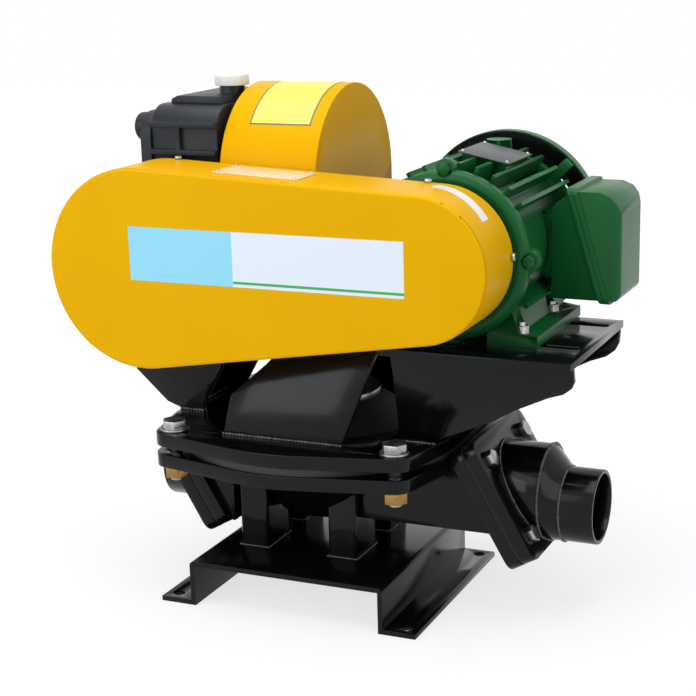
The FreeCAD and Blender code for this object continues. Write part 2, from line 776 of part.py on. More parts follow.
# Fork: the plunger's two cheeks either side of the connecting rod's lower eye
def fork():
    gap = rod_half_w + fork_side_gap
    base = rod_z(gap + fork_cheek_t + 6, fork_z, fork_z + fork_base_t, 0, pump_y)
    shape = base
    top = wrist_z
    for side in (-1, 1):
        x0, x1 = sorted((side * gap, side * (gap + fork_cheek_t)))
        cheek = block(x0, x1, pump_y - wrist_eye_r, pump_y + wrist_eye_r, fork_z, top)
        crown = rod_x(wrist_eye_r, x0, x1, pump_y, top)
        shape = shape.fuse(cheek).fuse(crown)
        shape = shape.cut(rod_x(wrist_pin_r, x0 - 1, x1 + 1, pump_y, top))
    shape = shape.cut(rod_z(plunger_bolt_r, fork_z - 1, fork_z + fork_base_t - 2, 0, pump_y))
    return shape.removeSplitter()


save("plunger_fork", fork())


# Connecting rod: big eye on the eccentric, shank, lower eye with its pin
def connecting_rod():
    eye_r = eccentric_r + rod_eye_wall
    big = rod_x(eye_r, -rod_half_w, rod_half_w, pump_y, crank_top_z)
    small = rod_x(wrist_eye_r, -rod_half_w, rod_half_w, pump_y, wrist_z)
    shank = prism_y([(-rod_half_w + 2, wrist_z), (rod_half_w - 2, wrist_z), (rod_half_w - 2, crank_top_z),
                     (-rod_half_w + 2, crank_top_z)], pump_y - 13, pump_y + 13)
    shape = big.fuse(small).fuse(shank)
    shape = shape.cut(rod_x(eccentric_r + shaft_gap, -rod_half_w - 1, rod_half_w + 1, pump_y, crank_top_z))
    shape = shape.cut(rod_x(wrist_pin_r, -rod_half_w - 1, rod_half_w + 1, pump_y, wrist_z))
    return shape.removeSplitter()


wrist_pin = rod_x(wrist_pin_r, -rod_half_w, rod_half_w, pump_y, wrist_z)
save("connecting_rod", Part.makeCompound([connecting_rod(), wrist_pin]))


# Drive deck with the window that the connecting rod passes through
def drive_deck():
    shape = block(drive_deck_left_x, deck_joint_x, guard_rear_y, drive_deck_rear_y, deck_bottom,
                  deck_plate_top)
    window = rounded_block(-rod_window_half_x, rod_window_half_x, pump_y - rod_window_half_y,
                           pump_y + rod_window_half_y, deck_bottom - 1, deck_plate_top + 1, 8.0,
                           Vector(0, 0, 1))
    return shape.cut(window)


save("drive_deck", drive_deck())


# Motor platform: top plate with four slots for the motor's foot bolts
def platform():
    outline = [(deck_joint_x, guard_rear_y), (platform_step_x, guard_rear_y), (platform_step_x,
                                                                               platform_front_y),
               (platform_right_x, platform_front_y), (platform_right_x, platform_rear_y),
               (deck_joint_x, platform_rear_y)]
    shape = prism_z(outline, deck_bottom, deck_plate_top)
    for x, half in ((motor_x - foot_bolt_x, slot_left_half), (slot_right_x, slot_right_half)):
        for y in (foot_bolt_y1, foot_bolt_y2):
            slot = block(x - half, x + half, y - slot_width / 2, y + slot_width / 2, deck_bottom - 1,
                         deck_plate_top + 1)
            for end_x in (x - half, x + half):
                slot = slot.fuse(rod_z(slot_width / 2, deck_bottom - 1, deck_plate_top + 1, end_x, y))
            shape = shape.cut(slot)
    return shape


save("motor_platform", platform())


# Leaning plates: a flat plate whose foot stands on the upper ring and whose head meets the deck's underside
def leaning_plate(points, foot_y, head_y):
    """Outline points are (x, share of the height from foot to head)."""
    rise = deck_bottom - upper_plate_top
    outward = -1 if foot_y < head_y else 1
    lower = [Vector(x, foot_y + (head_y - foot_y) * h, upper_plate_top + rise * h) for x, h in points]
    face = Part.Face(Part.makePolygon(lower + lower[:1]))
    return face.extrude(Vector(0, outward * bracket_t, 0))


brace_outline = [(-79.5, 0.0), (74, 0.0), (107, 1.0), (-6, 1.0), (-33, 0.745), (-74.7, 0.4)]
front_foot_y = pump_y - brace_foot_y + bracket_t
front_brace = leaning_plate(brace_outline, front_foot_y, front_foot_y + brace_lean)
rear_foot_y = pump_y + brace_foot_y - bracket_t
rear_brace = leaning_plate(brace_outline, rear_foot_y, rear_foot_y - brace_lean)
save("deck_braces", Part.makeCompound([front_brace, rear_brace]))
skirt_outline = [(124, 0.0), (172, 0.0), (180, 0.05), (247, 0.334), (271, 0.47), (312, 0.653), (330, 0.71),
                 (340, 0.78), (344, 0.86), (344, 1.0), (130, 1.0), (127, 0.19)]
skirt_head_y = platform_front_y + bracket_t
front_skirt = leaning_plate(skirt_outline, skirt_head_y + skirt_lean, skirt_head_y)
skirt_head_y = platform_rear_y - bracket_t
rear_skirt = leaning_plate(skirt_outline, skirt_head_y - skirt_lean, skirt_head_y)
save("platform_skirts", Part.makeCompound([front_skirt, rear_skirt]))


# Gearbox pedestal: funnel-shaped front and rear cheeks joined by a folded outer web
def pedestal():
    heel = -ring_side_x
    toe = heel + 32
    outline = [(heel, upper_plate_top), (toe, upper_plate_top), (toe, upper_plate_top + 10),
               (toe + 27, upper_plate_top + 57), (toe + 27, deck_bottom), (drive_deck_left_x, deck_bottom),
               (drive_deck_left_x, upper_plate_top + 46), (heel - 20, upper_plate_top + 7)]
    y0 = pump_y - pedestal_half_depth
    y1 = pump_y + pedestal_half_depth
    outer = prism_y(outline, y0, y1)
    inner = block(drive_deck_left_x - 1, 0, y0 + bracket_t, y1 - bracket_t, upper_plate_top - 1,
                  deck_bottom + 1)
    web_outline = [(heel, upper_plate_top), (heel + 12, upper_plate_top), (heel + 12, upper_plate_top + 3),
                   (heel - 16, upper_plate_top + 14), (drive_deck_left_x + bracket_t, upper_plate_top + 50),
                   (drive_deck_left_x + bracket_t, deck_bottom), (drive_deck_left_x, deck_bottom),
                   (drive_deck_left_x, upper_plate_top + 46), (heel - 20, upper_plate_top + 7)]
    web = prism_y(web_outline, y0, y1)
    return outer.cut(inner).fuse(web).removeSplitter()


save("gearbox_pedestal", pedestal())

# Gearbox casing: ribbed box with rounded shoulders, open on the left, and its bolted side cover
gb_y0 = pump_y - gearbox_half_depth
gb_y1 = pump_y + gearbox_half_depth
cap_outer_x = gearbox_left_x - side_cover_t


def gearbox_section(inset, top, corner):
    """Outline in the YZ plane, with both top corners rounded by short flats."""
    y0, y1 = gb_y0 + inset, gb_y1 - inset
    low = deck_plate_top + max(inset, 0.0)
    points = [(y0, low), (y1, low)]
    for k in range(7):
        a = math.radians(15.0 * k)
        points.append((y1 - corner + corner * math.cos(a), top - corner + corner * math.sin(a)))
    for k in range(7):
        a = math.radians(90.0 + 15.0 * k)
        points.append((y0 + corner + corner * math.cos(a), top - corner + corner * math.sin(a)))
    return points


def prism_x(points, x0, x1):
    corners = [Vector(x0, y, z) for y, z in points]
    face = Part.Face(Part.makePolygon(corners + corners[:1]))
    return face.extrude(Vector(x1 - x0, 0, 0))


def gearbox_casing():
    w = gearbox_wall
    shape = prism_x(gearbox_section(0, gearbox_top_z, gearbox_shoulder), gearbox_left_x, gearbox_right_x)
    hollow = prism_x(gearbox_section(w, gearbox_top_z - w, gearbox_shoulder - w), gearbox_left_x - 1,
                     gearbox_right_x - w)
    ribs = []
    for y0, y1 in ((gb_y0 - rib_depth, gb_y0 + 1), (gb_y1 - 1, gb_y1 + rib_depth)):
        for drop in (upper_rib_drop, lower_rib_drop):
            z = gearbox_top_z - drop
            ribs.append(block(gearbox_left_x, gearbox_right_x, y0, y1, z, z + rib_t))
        ribs.append(block(upright_rib_x - rib_t / 2, upright_rib_x + rib_t / 2, y0, y1,
                          gearbox_top_z - upright_rib_drop, gearbox_top_z - upper_rib_drop))
    foot = block(gearbox_left_x, gearbox_right_x, gb_y0 - rib_depth, gb_y1 + rib_depth,
                 deck_plate_top, deck_plate_top + casing_foot_t)
    shape = shape.fuse([foot] + ribs).cut(hollow)
    boss_r = worm_bearing_r + bearing_seat_wall
    seat_x = gearbox_right_x - crank_bearing_inset - crank_bearing_w
    seats = [rod_x(bearing_outer_r + bearing_seat_wall, seat_x, gearbox_right_x, pump_y, crank_z),
             rod_y(boss_r, gb_y0 - rib_depth, gb_y0 + w + bearing_len, worm_x, worm_z),
             rod_y(boss_r, gb_y1 - w - bearing_len, gb_y1 + rib_depth, worm_x, worm_z)]
    shape = shape.fuse(seats)
    shape = shape.cut(rod_x(bearing_outer_r, seat_x - 1, gearbox_right_x - crank_bearing_inset, pump_y,
                            crank_z))
    shape = shape.cut(rod_x(crank_shaft_r + 1, seat_x, gearbox_right_x + 1, pump_y, crank_z))
    shape = shape.cut(rod_y(worm_bearing_r, gb_y0 + 2, gb_y0 + w + bearing_len + 1, worm_x, worm_z))
    shape = shape.cut(rod_y(worm_bearing_r, gb_y1 - w - bearing_len - 1, gb_y1 - 2, worm_x, worm_z))
    shape = shape.cut(rod_y(worm_shaft_r + 1, gb_y0 - 20, gb_y0 + 3, worm_x, worm_z))
    beyond = block(gearbox_left_x - 60, gearbox_left_x, gb_y0 - 60, gb_y1 + 60, 0, gearbox_top_z + 60)
    return shape.cut(beyond).removeSplitter()


def side_cover():
    top = gearbox_top_z - side_cover_drop
    shape = prism_x(gearbox_section(-side_cover_lip, top, gearbox_shoulder), cap_outer_x, gearbox_left_x)
    shape = shape.fuse(rod_x(bearing_outer_r + bearing_seat_wall, cap_outer_x,
                             gearbox_left_x + crank_bearing_w,
                             pump_y, crank_z))
    bore = rod_x(bearing_outer_r, cap_outer_x - 1, gearbox_left_x + crank_bearing_w + 1, pump_y, crank_z)
    return shape.cut(bore).removeSplitter()


save("gearbox_casing", Part.makeCompound([gearbox_casing(), side_cover()]))

# Gearbox top cover with its sloped edges, filler neck and side plug
cover_z = gearbox_top_z
cover_h = 9.0
neck_x = -112.0
neck_y = 0.0
neck_r = 15.0
neck_top = gearbox_top_z + 21.5


def gearbox_cover():
    points = [(gearbox_left_x + 12, cover_z), (gearbox_right_x - 6, cover_z),
              (gearbox_right_x - 10, cover_z + cover_h), (gearbox_left_x + 20, cover_z + cover_h),
              (gearbox_left_x + 12, cover_z + 5)]
    half = gearbox_half_depth - gearbox_shoulder - 1
    plate = prism_y(points, pump_y - half, pump_y + half)
    shape = plate.fuse(rod_z(neck_r, cover_z, neck_top, neck_x, neck_y))
    return shape.cut(rod_z(neck_r - 4, cover_z - 1, neck_top + 1, neck_x, neck_y)).removeSplitter()


save("gearbox_cover", gearbox_cover())
cap_r = 20.5
cap_z0 = neck_top - 3.0
cap_z1 = neck_top + 10.0
cap = rod_z(cap_r, cap_z0, cap_z1, neck_x, neck_y)
cap = cap.cut(rod_z(neck_r + 0.2, cap_z0 - 1, neck_top + 0.5, neck_x, neck_y))
save("filler_cap", cap.makeFillet(2.0, [e for e in cap.Edges if abs(e.CenterOfMass.z - cap_z1) < 0.01
                                         and abs(e.Length - 2 * math.pi * cap_r) < 0.5]))

end_cap = rod_x(bearing_outer_r + 12, cap_outer_x - 9, cap_outer_x, pump_y, crank_z)
end_cap = end_cap.fuse(rod_x(bearing_outer_r - 0.1, cap_outer_x, gearbox_left_x - 0.5, pump_y, crank_z))
end_cap = end_cap.cut(rod_x(crank_shaft_r + 2, cap_outer_x - 4, gearbox_left_x, pump_y, crank_z))
end_cap = end_cap.removeSplitter()
side_plug = rod_x(plug_r, cap_outer_x - plug_length, cap_outer_x, plug_y, plug_z).cut(end_cap)
plug_rim = [e for e in side_plug.Edges if abs(e.CenterOfMass.x - cap_outer_x + plug_length) < 0.01]
side_plug = side_plug.makeFillet(plug_r / 3, plug_rim)
save("gearbox_plugs", Part.makeCompound([end_cap, side_plug]))


# Bearings, worm, wheel and crankshaft
def bearing_x(r_out, r_in, x0, x1):
    return rod_x(r_out, x0, x1, pump_y, crank_z).cut(rod_x(r_in, x0 - 1, x1 + 1, pump_y, crank_z))


def bearing_y(r_out, r_in, y0, y1, x, z):
    return rod_y(r_out, y0, y1, x, z).cut(rod_y(r_in, y0 - 1, y1 + 1, x, z))


crank_bearings = []
right_bearing_x = gearbox_right_x - crank_bearing_inset - crank_bearing_w
for x0 in (gearbox_left_x, right_bearing_x):
    crank_bearings.append(bearing_x(bearing_outer_r, crank_shaft_r + shaft_gap, x0, x0 + crank_bearing_w))
worm_bearings = []
for y0 in (gb_y0 + 3, gb_y1 - 3 - bearing_len):
    worm_bearings.append(bearing_y(worm_bearing_r, worm_shaft_r + shaft_gap, y0, y0 + bearing_len,
                                   worm_x, worm_z))
save("gearbox_bearings", Part.makeCompound(crank_bearings + worm_bearings))


def worm():
    turns = 6
    pitch = 12.0
    start = pump_y - turns * pitch / 2
    profile = [(0, pulley_front_y + 2), (worm_shaft_r, pulley_front_y + 2), (worm_shaft_r, start)]
    for k in range(turns):
        y = start + k * pitch
        profile += [(worm_shaft_r + 1, y), (worm_tip_r, y + 3), (worm_tip_r, y + 6), (worm_shaft_r + 1,
                                                                                      y + 10)]
    end = start + turns * pitch
    profile += [(worm_shaft_r, end), (worm_shaft_r, gb_y1 - 3), (0, gb_y1 - 3)]
    return turned(profile, Vector(worm_x, 0, worm_z), "y")


save("worm_shaft", worm())


def wheel():
    teeth = 30
    x0 = worm_x - wheel_width / 2
    x1 = worm_x + wheel_width / 2
    shape = rod_x(wheel_tip_r - 6, x0, x1, pump_y, crank_z)
    for k in range(teeth):
        tooth = block(x0, x1, pump_y - 2.4, pump_y + 2.4, crank_z + wheel_tip_r - 9, crank_z + wheel_tip_r)
        tooth.rotate(Vector(0, pump_y, crank_z), Vector(1, 0, 0), 360.0 * k / teeth)
        shape = shape.fuse(tooth)
    shape = shape.cut(rod_x(crank_shaft_r, x0 - 1, x1 + 1, pump_y, crank_z))
    return shape.removeSplitter()


save("worm_wheel", wheel())


def crankshaft():
    shape = rod_x(crank_shaft_r, gearbox_left_x + 0.5, -eccentric_half_w, pump_y, crank_z)
    disc = rod_x(eccentric_r, -eccentric_half_w, rod_half_w, pump_y, crank_top_z)
    keeper = rod_x(eccentric_r + 4, rod_half_w + 0.5, rod_half_w + 5, pump_y, crank_top_z)
    collar = rod_x(eccentric_r + 4, -eccentric_half_w - 5, -rod_half_w - 0.5, pump_y, crank_top_z)
    plug = rod_x(eccentric_r - 6, rod_half_w - 1, rod_half_w + 1, pump_y, crank_top_z)
    return shape.fuse([disc, keeper, collar, plug]).removeSplitter()


save("crankshaft", crankshaft())


# Crank hood: arched sheet-metal shell standing on the drive deck
def hood_section(r, x0, x1, low):
    arch = rod_x(r, x0, x1, hood_y, crank_z)
    sides = block(x0, x1, hood_y - r, hood_y + r, low, crank_z)
    return arch.fuse(sides)


def hood():
    """Rolled band with a flat plate welded into each end."""
    outer = hood_section(hood_r, hood_left_x, hood_right_x, deck_plate_top)
    inner = hood_section(hood_r - hood_t, hood_left_x - 1, hood_right_x + 1, deck_plate_top)
    band = outer.cut(inner).removeSplitter()
    ends = []
    for x0 in (hood_left_x, hood_right_x - hood_t):
        ends.append(hood_section(hood_r - hood_t, x0, x0 + hood_t, deck_plate_top).removeSplitter())
    ends[0] = ends[0].cut(rod_x(bearing_outer_r + 12, hood_left_x - 1, hood_left_x + hood_t + 1, pump_y,
                                crank_z))
    return Part.makeCompound([band] + ends)


save("crank_hood", hood())


# Motor frame: finned barrel with cast feet, name-plate pad, lifting boss and terminal-box pad
def motor_frame():
    body_y0 = motor_front_y + end_shield_t
    barrel = rod_y(motor_body_r, body_y0, motor_body_end_y, motor_x, motor_z)
    extra = []
    for k in range(fin_count):
        angle = 360.0 * (k + 0.5) / fin_count
        compass = (angle + 180.0) % 360.0 - 180.0
        if abs(compass - 90) < 34 or abs(abs(compass) - 180) < 32:
            continue
        fin = block(motor_x - fin_t / 2, motor_x + fin_t / 2, body_y0 + 6, motor_body_end_y - 6,
                    motor_z + motor_body_r - 3, motor_z + fin_tip_r)
        fin.rotate(Vector(motor_x, 0, motor_z), Vector(0, 1, 0), angle)
        extra.append(fin)
    for side in (-1, 1):
        outline = [(44, 0), (103, 0), (103, foot_t), (82, foot_t + 3), (66, 62), (58, 70), (34, 50),
                   (44, foot_t)]
        points = [(motor_x + side * x, deck_plate_top + z) for x, z in outline]
        extra.append(prism_y(points, -57.0, 112.0))
    extra.append(block(motor_x + 70, box_left_x, 44, 116, motor_z - 40, motor_z + 36))
    pad = block(motor_x - 27, motor_x + 27, 0, 74, motor_z + motor_body_r - 6, motor_z + name_plate_r)
    pad.rotate(Vector(motor_x, 0, motor_z), Vector(0, 1, 0), name_plate_tilt)
    extra.append(pad)
    extra.append(rod_z(15, motor_z + motor_body_r - 6, motor_z + name_plate_r + 6, motor_x + 3, 104))
    for angle in (0, 90, 180, 270):
        boss = rod_y(11, body_y0, body_y0 + 12, motor_x, motor_z + shield_bolt_circle - 4)
        boss.rotate(Vector(motor_x, 0, motor_z), Vector(0, 1, 0), angle)
        extra.append(boss)
    shape = barrel.fuse(extra)
    shape = shape.cut(rod_y(motor_bore_r, body_y0 - 1, motor_body_end_y + 1, motor_x, motor_z))
    shape = shape.cut(block(motor_x - 150, motor_x + 150, -200, 200, 0, deck_plate_top))
    for side in (-1, 1):
        for y in (foot_bolt_y1, foot_bolt_y2):
            x = motor_x + side * foot_bolt_x
            shape = shape.cut(rod_z(foot_bolt_r + bolt_clearance, deck_plate_top - 1,
                                    deck_plate_top + 30, x, y))
            shape = shape.cut(rod_z(12, deck_plate_top + foot_t, deck_plate_top + 45, x, y))
    return shape.removeSplitter()


save("motor_frame", motor_frame())


# End shields with bearing seats
def front_shield():
    y1 = motor_front_y + end_shield_t
    profile = [(bearing_inner_r + 4, hub_front_y), (hub_r - 3, hub_front_y), (hub_r, hub_front_y + 3),
               (hub_r + 4, motor_front_y - 12), (end_shield_r - 18, motor_front_y + 2),
               (end_shield_r - 12, motor_front_y), (end_shield_r - 7, motor_front_y + 0.5),
               (end_shield_r - 3, motor_front_y + 2), (end_shield_r - 0.8, motor_front_y + 4.5),
               (end_shield_r, motor_front_y + 8), (end_shield_r, y1),
               (bearing_outer_r, y1), (bearing_outer_r, hub_front_y + 4), (bearing_inner_r + 4,
                                                                           hub_front_y + 4)]
    shape = turned(profile, Vector(motor_x, 0, motor_z), "y")
    for angle in (0, 90, 180, 270):
        boss = rod_y(11, motor_front_y + shield_boss_back, y1, motor_x, motor_z + shield_bolt_circle)
        seat = rod_y(9, motor_front_y - 5, motor_front_y + shield_boss_back, motor_x,
                     motor_z + shield_bolt_circle)
        for tool in (boss, seat):
            tool.rotate(Vector(motor_x, 0, motor_z), Vector(0, 1, 0), angle)
        shape = shape.fuse(boss).cut(seat)
    shape = shape.cut(block(motor_x - 60, motor_x + 60, -200, 200, deck_plate_top - 20,
                            deck_plate_top + 0.5))
    return shape.removeSplitter()


save("motor_front_shield", front_shield())


def rear_shield():
    y0 = motor_body_end_y
    y1 = y0 + rear_shield_t
    seat_end = y0 + bearing_w
    shape = rod_y(motor_body_r + 6, y0, y1, motor_x, motor_z)
    shape = shape.fuse(rod_y(hub_r, y0, seat_end, motor_x, motor_z))
    for angle in (45, 135, 225, 315):
        lug = block(motor_x - 6, motor_x + 6, y0 + 2, cowl_front_y + 10, motor_z + motor_body_r + 3,
                    motor_z + cowl_r - cowl_t)
        foot = block(motor_x - 6, motor_x + 6, y0, y1, motor_z + motor_body_r - 6,
                     motor_z + cowl_r - cowl_t - 2)
        lug = lug.fuse(foot)
        lug.rotate(Vector(motor_x, 0, motor_z), Vector(0, 1, 0), angle)
        shape = shape.fuse(lug)
    inside = rod_y(cowl_r - cowl_t, y0 - 1, cowl_rear_y, motor_x, motor_z)
    shape = shape.common(inside)
    shape = shape.cut(rod_y(bearing_outer_r, y0 - 1, seat_end - 2, motor_x, motor_z))
    shape = shape.cut(rod_y(bearing_inner_r - 1, y0 - 1, seat_end + 1, motor_x, motor_z))
    return shape.removeSplitter()


save("motor_rear_shield", rear_shield())
front_bearing_y = hub_front_y + 4
rear_bearing_y = motor_body_end_y - 2
motor_bearings = [bearing_y(bearing_outer_r, bearing_inner_r + shaft_gap, front_bearing_y,
                            front_bearing_y + bearing_w, motor_x, motor_z),
                  bearing_y(bearing_outer_r, bearing_inner_r + shaft_gap, rear_bearing_y,
                            rear_bearing_y + bearing_w, motor_x, motor_z)]
save("motor_bearings", Part.makeCompound(motor_bearings))


# Stator winding pack and rotor
def stator():
    core = rod_y(motor_bore_r, -20, 90, motor_x, motor_z)
    ends = rod_y(motor_bore_r - 6, -42, 112, motor_x, motor_z)
    return core.fuse(ends).cut(rod_y(rotor_r + rotor_air_gap, -50, 120, motor_x, motor_z)).removeSplitter()


save("stator", stator())


def rotor():
    fan_seat_r = 12.0
    rear = rear_bearing_y + bearing_w
    profile = [(0, drive_shaft_end_y), (drive_shaft_r, drive_shaft_end_y), (drive_shaft_r, hub_front_y + 2),
               (bearing_inner_r, hub_front_y + 2), (bearing_inner_r, -30), (20, -30), (20, -22),
               (rotor_r, -22),
               (rotor_r, 92), (20, 92), (20, 110), (bearing_inner_r, 110), (bearing_inner_r, rear),
               (fan_seat_r, rear), (fan_seat_r, 178), (0, 178)]
    return turned(profile, Vector(motor_x, 0, motor_z), "y")


save("rotor", rotor())


def fan():
    hub = rod_y(22, 152, 176, motor_x, motor_z)
    disc = rod_y(60, 152, 155, motor_x, motor_z)
    shape = hub.fuse(disc)
    for k in range(7):
        blade = block(motor_x - 1.5, motor_x + 1.5, 152, 176, motor_z + 18, motor_z + fan_r)
        blade.rotate(Vector(motor_x, 0, motor_z), Vector(0, 1, 0), 360.0 * k / 7)
        shape = shape.fuse(blade)
    return shape.cut(rod_y(12, 150, 178, motor_x, motor_z)).removeSplitter()


save("cooling_fan", fan())


# Fan cowl: a rolled band and a domed back with concentric air slots
def dome_profile(inset):
    """Outer line of the domed back from the band to the flat centre."""
    start = cowl_front_y + cowl_band
    run = cowl_rear_y - start
    fall = cowl_r - cowl_back_r
    return [(cowl_r - inset, start), (cowl_r - inset - 0.19 * fall, start + 0.38 * run),
            (cowl_r - inset - 0.5 * fall, start + 0.71 * run), (cowl_back_r - inset + 4,
                                                                cowl_rear_y - inset - 2),
            (cowl_back_r - inset, cowl_rear_y - inset)]


def cowl():
    start = cowl_front_y + cowl_band
    band = rod_y(cowl_r, cowl_front_y, start, motor_x, motor_z)
    band = band.cut(rod_y(cowl_r - cowl_t, cowl_front_y - 1, start + 1, motor_x, motor_z))
    outer = turned([(0, start)] + dome_profile(0) + [(0, cowl_rear_y)], Vector(motor_x, 0, motor_z), "y")
    inner_line = dome_profile(cowl_t)
    inner = turned([(0, start - 1), (cowl_r - cowl_t, start - 1)] + inner_line + [(0,
                                                                                   cowl_rear_y - cowl_t)],
                   Vector(motor_x, 0, motor_z), "y")
    back = outer.cut(inner)
    spokes = []
    for k in range(3):
        spoke = block(motor_x - cowl_r, motor_x + cowl_r, cowl_rear_y - 6, cowl_rear_y + 3,
                      motor_z - 3.5, motor_z + 3.5)
        spoke.rotate(Vector(motor_x, 0, motor_z), Vector(0, 1, 0), 60.0 * k)
        spokes.append(spoke)
    for r in (28.0, 42.0, 56.0, 70.0):
        slot = rod_y(r + 3, cowl_rear_y - 4, cowl_rear_y + 1, motor_x, motor_z)
        slot = slot.cut(rod_y(r - 3, cowl_rear_y - 5, cowl_rear_y + 2, motor_x, motor_z))
        back = back.cut(slot.cut(spokes))
    return Part.makeCompound([band, back.removeSplitter()])


save("fan_cowl", cowl())


# Terminal box: base and cover meet on a slanted plane with a lip on each
box_slant = (box_split_bottom_x - box_split_top_x) / (box_top_z - box_bottom_z)


def on_split(z, shift):
    """Point on the slanted joint at height z, shifted along X."""
    return (box_split_bottom_x - box_slant * (z - box_bottom_z) + shift, z)


def lip_plate(shift0, shift1):
    z0 = box_bottom_z - box_lip
    z1 = box_top_z + box_lip
    outline = [on_split(z0, shift0), on_split(z0, shift1), on_split(z1, shift1), on_split(z1, shift0)]
    plate = prism_y(outline, box_front_y - box_lip, box_rear_y + box_lip)
    corners = [e for e in plate.Edges if abs(e.Vertexes[0].Point.y - e.Vertexes[1].Point.y) < 0.01
               and abs(abs(e.Vertexes[0].Point.x - e.Vertexes[1].Point.x) - abs(shift1 - shift0)) < 0.01]
    return plate.makeFillet(box_lip + 4, corners)


def terminal_base():
    w = box_wall
    body = prism_y([(box_left_x, box_bottom_z), on_split(box_bottom_z, 0), on_split(box_top_z, 0),
                    (box_left_x + 5, box_top_z - box_shoulder + 8), (box_left_x, box_top_z - box_shoulder)],
                   box_front_y, box_rear_y)
    hollow = prism_y([(box_left_x + w, box_bottom_z + w), on_split(box_bottom_z + w, 2),
                      on_split(box_top_z - w, 2), (box_left_x + w, box_top_z - box_shoulder - w)],
                     box_front_y + w, box_rear_y - w)
    return body.fuse(lip_plate(-box_lip_w, 0)).cut(hollow).removeSplitter()


save("terminal_box", terminal_base())


def terminal_cover():
    w = box_wall
    gap = box_joint_gap
    body = prism_y([on_split(box_bottom_z, gap), (box_right_x - 4, box_bottom_z), (box_right_x,
                                                                                   box_bottom_z + 6),
                    (box_right_x, box_top_z - 26), (box_right_x - 4, box_top_z - 14), (box_right_x - 12,
                                                                                       box_top_z - 5),
                    (box_right_x - 24, box_top_z), on_split(box_top_z, gap)], box_front_y, box_rear_y)
    uprights = edges_along(body, Vector(0, 0, 1), box_top_z - 26 - box_bottom_z - 6)
    body = body.makeFillet(12.0, [e for e in uprights if abs(e.CenterOfMass.x - box_right_x) < 1])
    hollow = prism_y([on_split(box_bottom_z + w, -2), (box_right_x - w - 3, box_bottom_z + w),
                      (box_right_x - w - 3, box_top_z - 30), (box_right_x - 26, box_top_z - w - 2),
                      on_split(box_top_z - w - 2, -2)], box_front_y + w, box_rear_y - w)
    return body.fuse(lip_plate(gap, gap + box_lip_w)).cut(hollow).removeSplitter()


save("terminal_box_cover", terminal_cover())

# Name plate on the motor pad, and data plate on the guard
name_plate = block(motor_x - 31, motor_x + 31, -5, 79, motor_z + name_plate_r, motor_z + name_plate_r + 1.5)
name_plate.rotate(Vector(motor_x, 0, motor_z), Vector(0, 1, 0), name_plate_tilt)

# Motor foot bolts with nuts under the platform
foot_bolts = []
for side in (-1, 1):
    for y in (foot_bolt_y1, foot_bolt_y2):
        x = motor_x + side * foot_bolt_x
        head_z = deck_plate_top + foot_t
        head = hexagon(16.0, 8.0, Vector(x, y, head_z + 2), Vector(0, 0, 1))
        washer = rod_z(11, head_z, head_z + 2, x, y)
        nut = hexagon(16.0, 8.0, Vector(x, y, deck_bottom - 10), Vector(0, 0, 1))
        low_washer = rod_z(11, deck_bottom - 2, deck_bottom, x, y)
        shank = rod_z(foot_bolt_r, deck_bottom - 13, head_z + 14, x, y)
        foot_bolts.append(shank.fuse([head, washer, nut, low_washer]).removeSplitter())
save("motor_foot_bolts", Part.makeCompound(foot_bolts))

# Shield bolts at the four bosses
shield_bolts = []
for angle in (0, 90, 180, 270):
    seat = Vector(motor_x, motor_front_y + shield_boss_back, motor_z + shield_bolt_circle)
    head = hexagon(13.0, 6.0, seat, Vector(0, -1, 0))
    head.rotate(Vector(motor_x, 0, motor_z), Vector(0, 1, 0), angle)
    shield_bolts.append(head)
shield_bolts = shield_bolts[:2] + shield_bolts[3:]


# Belt drive: two pulleys and two belts
def pulley(x, z, belt_r, shaft_r, web):
    rim_r = belt_r + belt_depth / 2 + pulley_lip / 2
    profile = [(shaft_r, pulley_front_y), (rim_r, pulley_front_y)]
    half = belt_width / 2 + belt_clearance
    floor = belt_r - belt_depth / 2 - belt_clearance
    for y in belt_y:
        profile += [(rim_r, y - half), (floor, y - half), (floor, y + half), (rim_r, y + half)]
    profile += [(rim_r, pulley_rear_y), (shaft_r, pulley_rear_y)]
    shape = turned(profile, Vector(x, 0, z), "y")
    if web:
        for y0, y1 in ((pulley_front_y - 1, pulley_front_y + 7), (pulley_rear_y - 7, pulley_rear_y + 1)):
            dish = rod_y(floor - 10, y0, y1, x, z).cut(rod_y(shaft_r + 14, y0 - 1, y1 + 1, x, z))
            shape = shape.cut(dish)
    return shape


save("input_pulley", pulley(worm_x, worm_z, big_belt_r, worm_shaft_r, True))
save("motor_pulley", pulley(motor_x, motor_z, small_belt_r, drive_shaft_r, False))
belts = []
for y in belt_y:
    half = belt_depth / 2
    outer = loop_solid(worm_x, worm_z, big_belt_r + half, motor_x, motor_z, small_belt_r + half,
                       y - belt_width / 2, y + belt_width / 2)
    inner = loop_solid(worm_x, worm_z, big_belt_r - half, motor_x, motor_z, small_belt_r - half,
                       y - belt_width, y + belt_width)
    belts.append(outer.cut(inner))
save("drive_belts", Part.makeCompound(belts))


# Belt guard shell and its back plate
def guard():
    """Front plate with a rounded rim, and the band welded behind it."""
    t = guard_t
    outer = loop_solid(guard_big_x, guard_big_z, guard_big_r, guard_small_x, guard_small_z, guard_small_r,
                       guard_front_y, guard_rear_y)
    rim_edges = [e for e in outer.Edges if abs(e.BoundBox.YMin - guard_front_y) < 0.01
                 and abs(e.BoundBox.YMax - guard_front_y) < 0.01]
    outer = outer.makeFillet(4.0, rim_edges)
    inner = loop_solid(guard_big_x, guard_big_z, guard_big_r - t, guard_small_x, guard_small_z,
                       guard_small_r - t,
                       guard_front_y + t, guard_rear_y + 1)
    shell = outer.cut(inner)
    tray_end = guard_front_y + t
    front = block(-2 * ring_r, 2 * ring_r, guard_front_y - 1, tray_end, 0, 2 * guard_big_z)
    return Part.makeCompound([shell.common(front), shell.cut(front)])


save("belt_guard", guard())


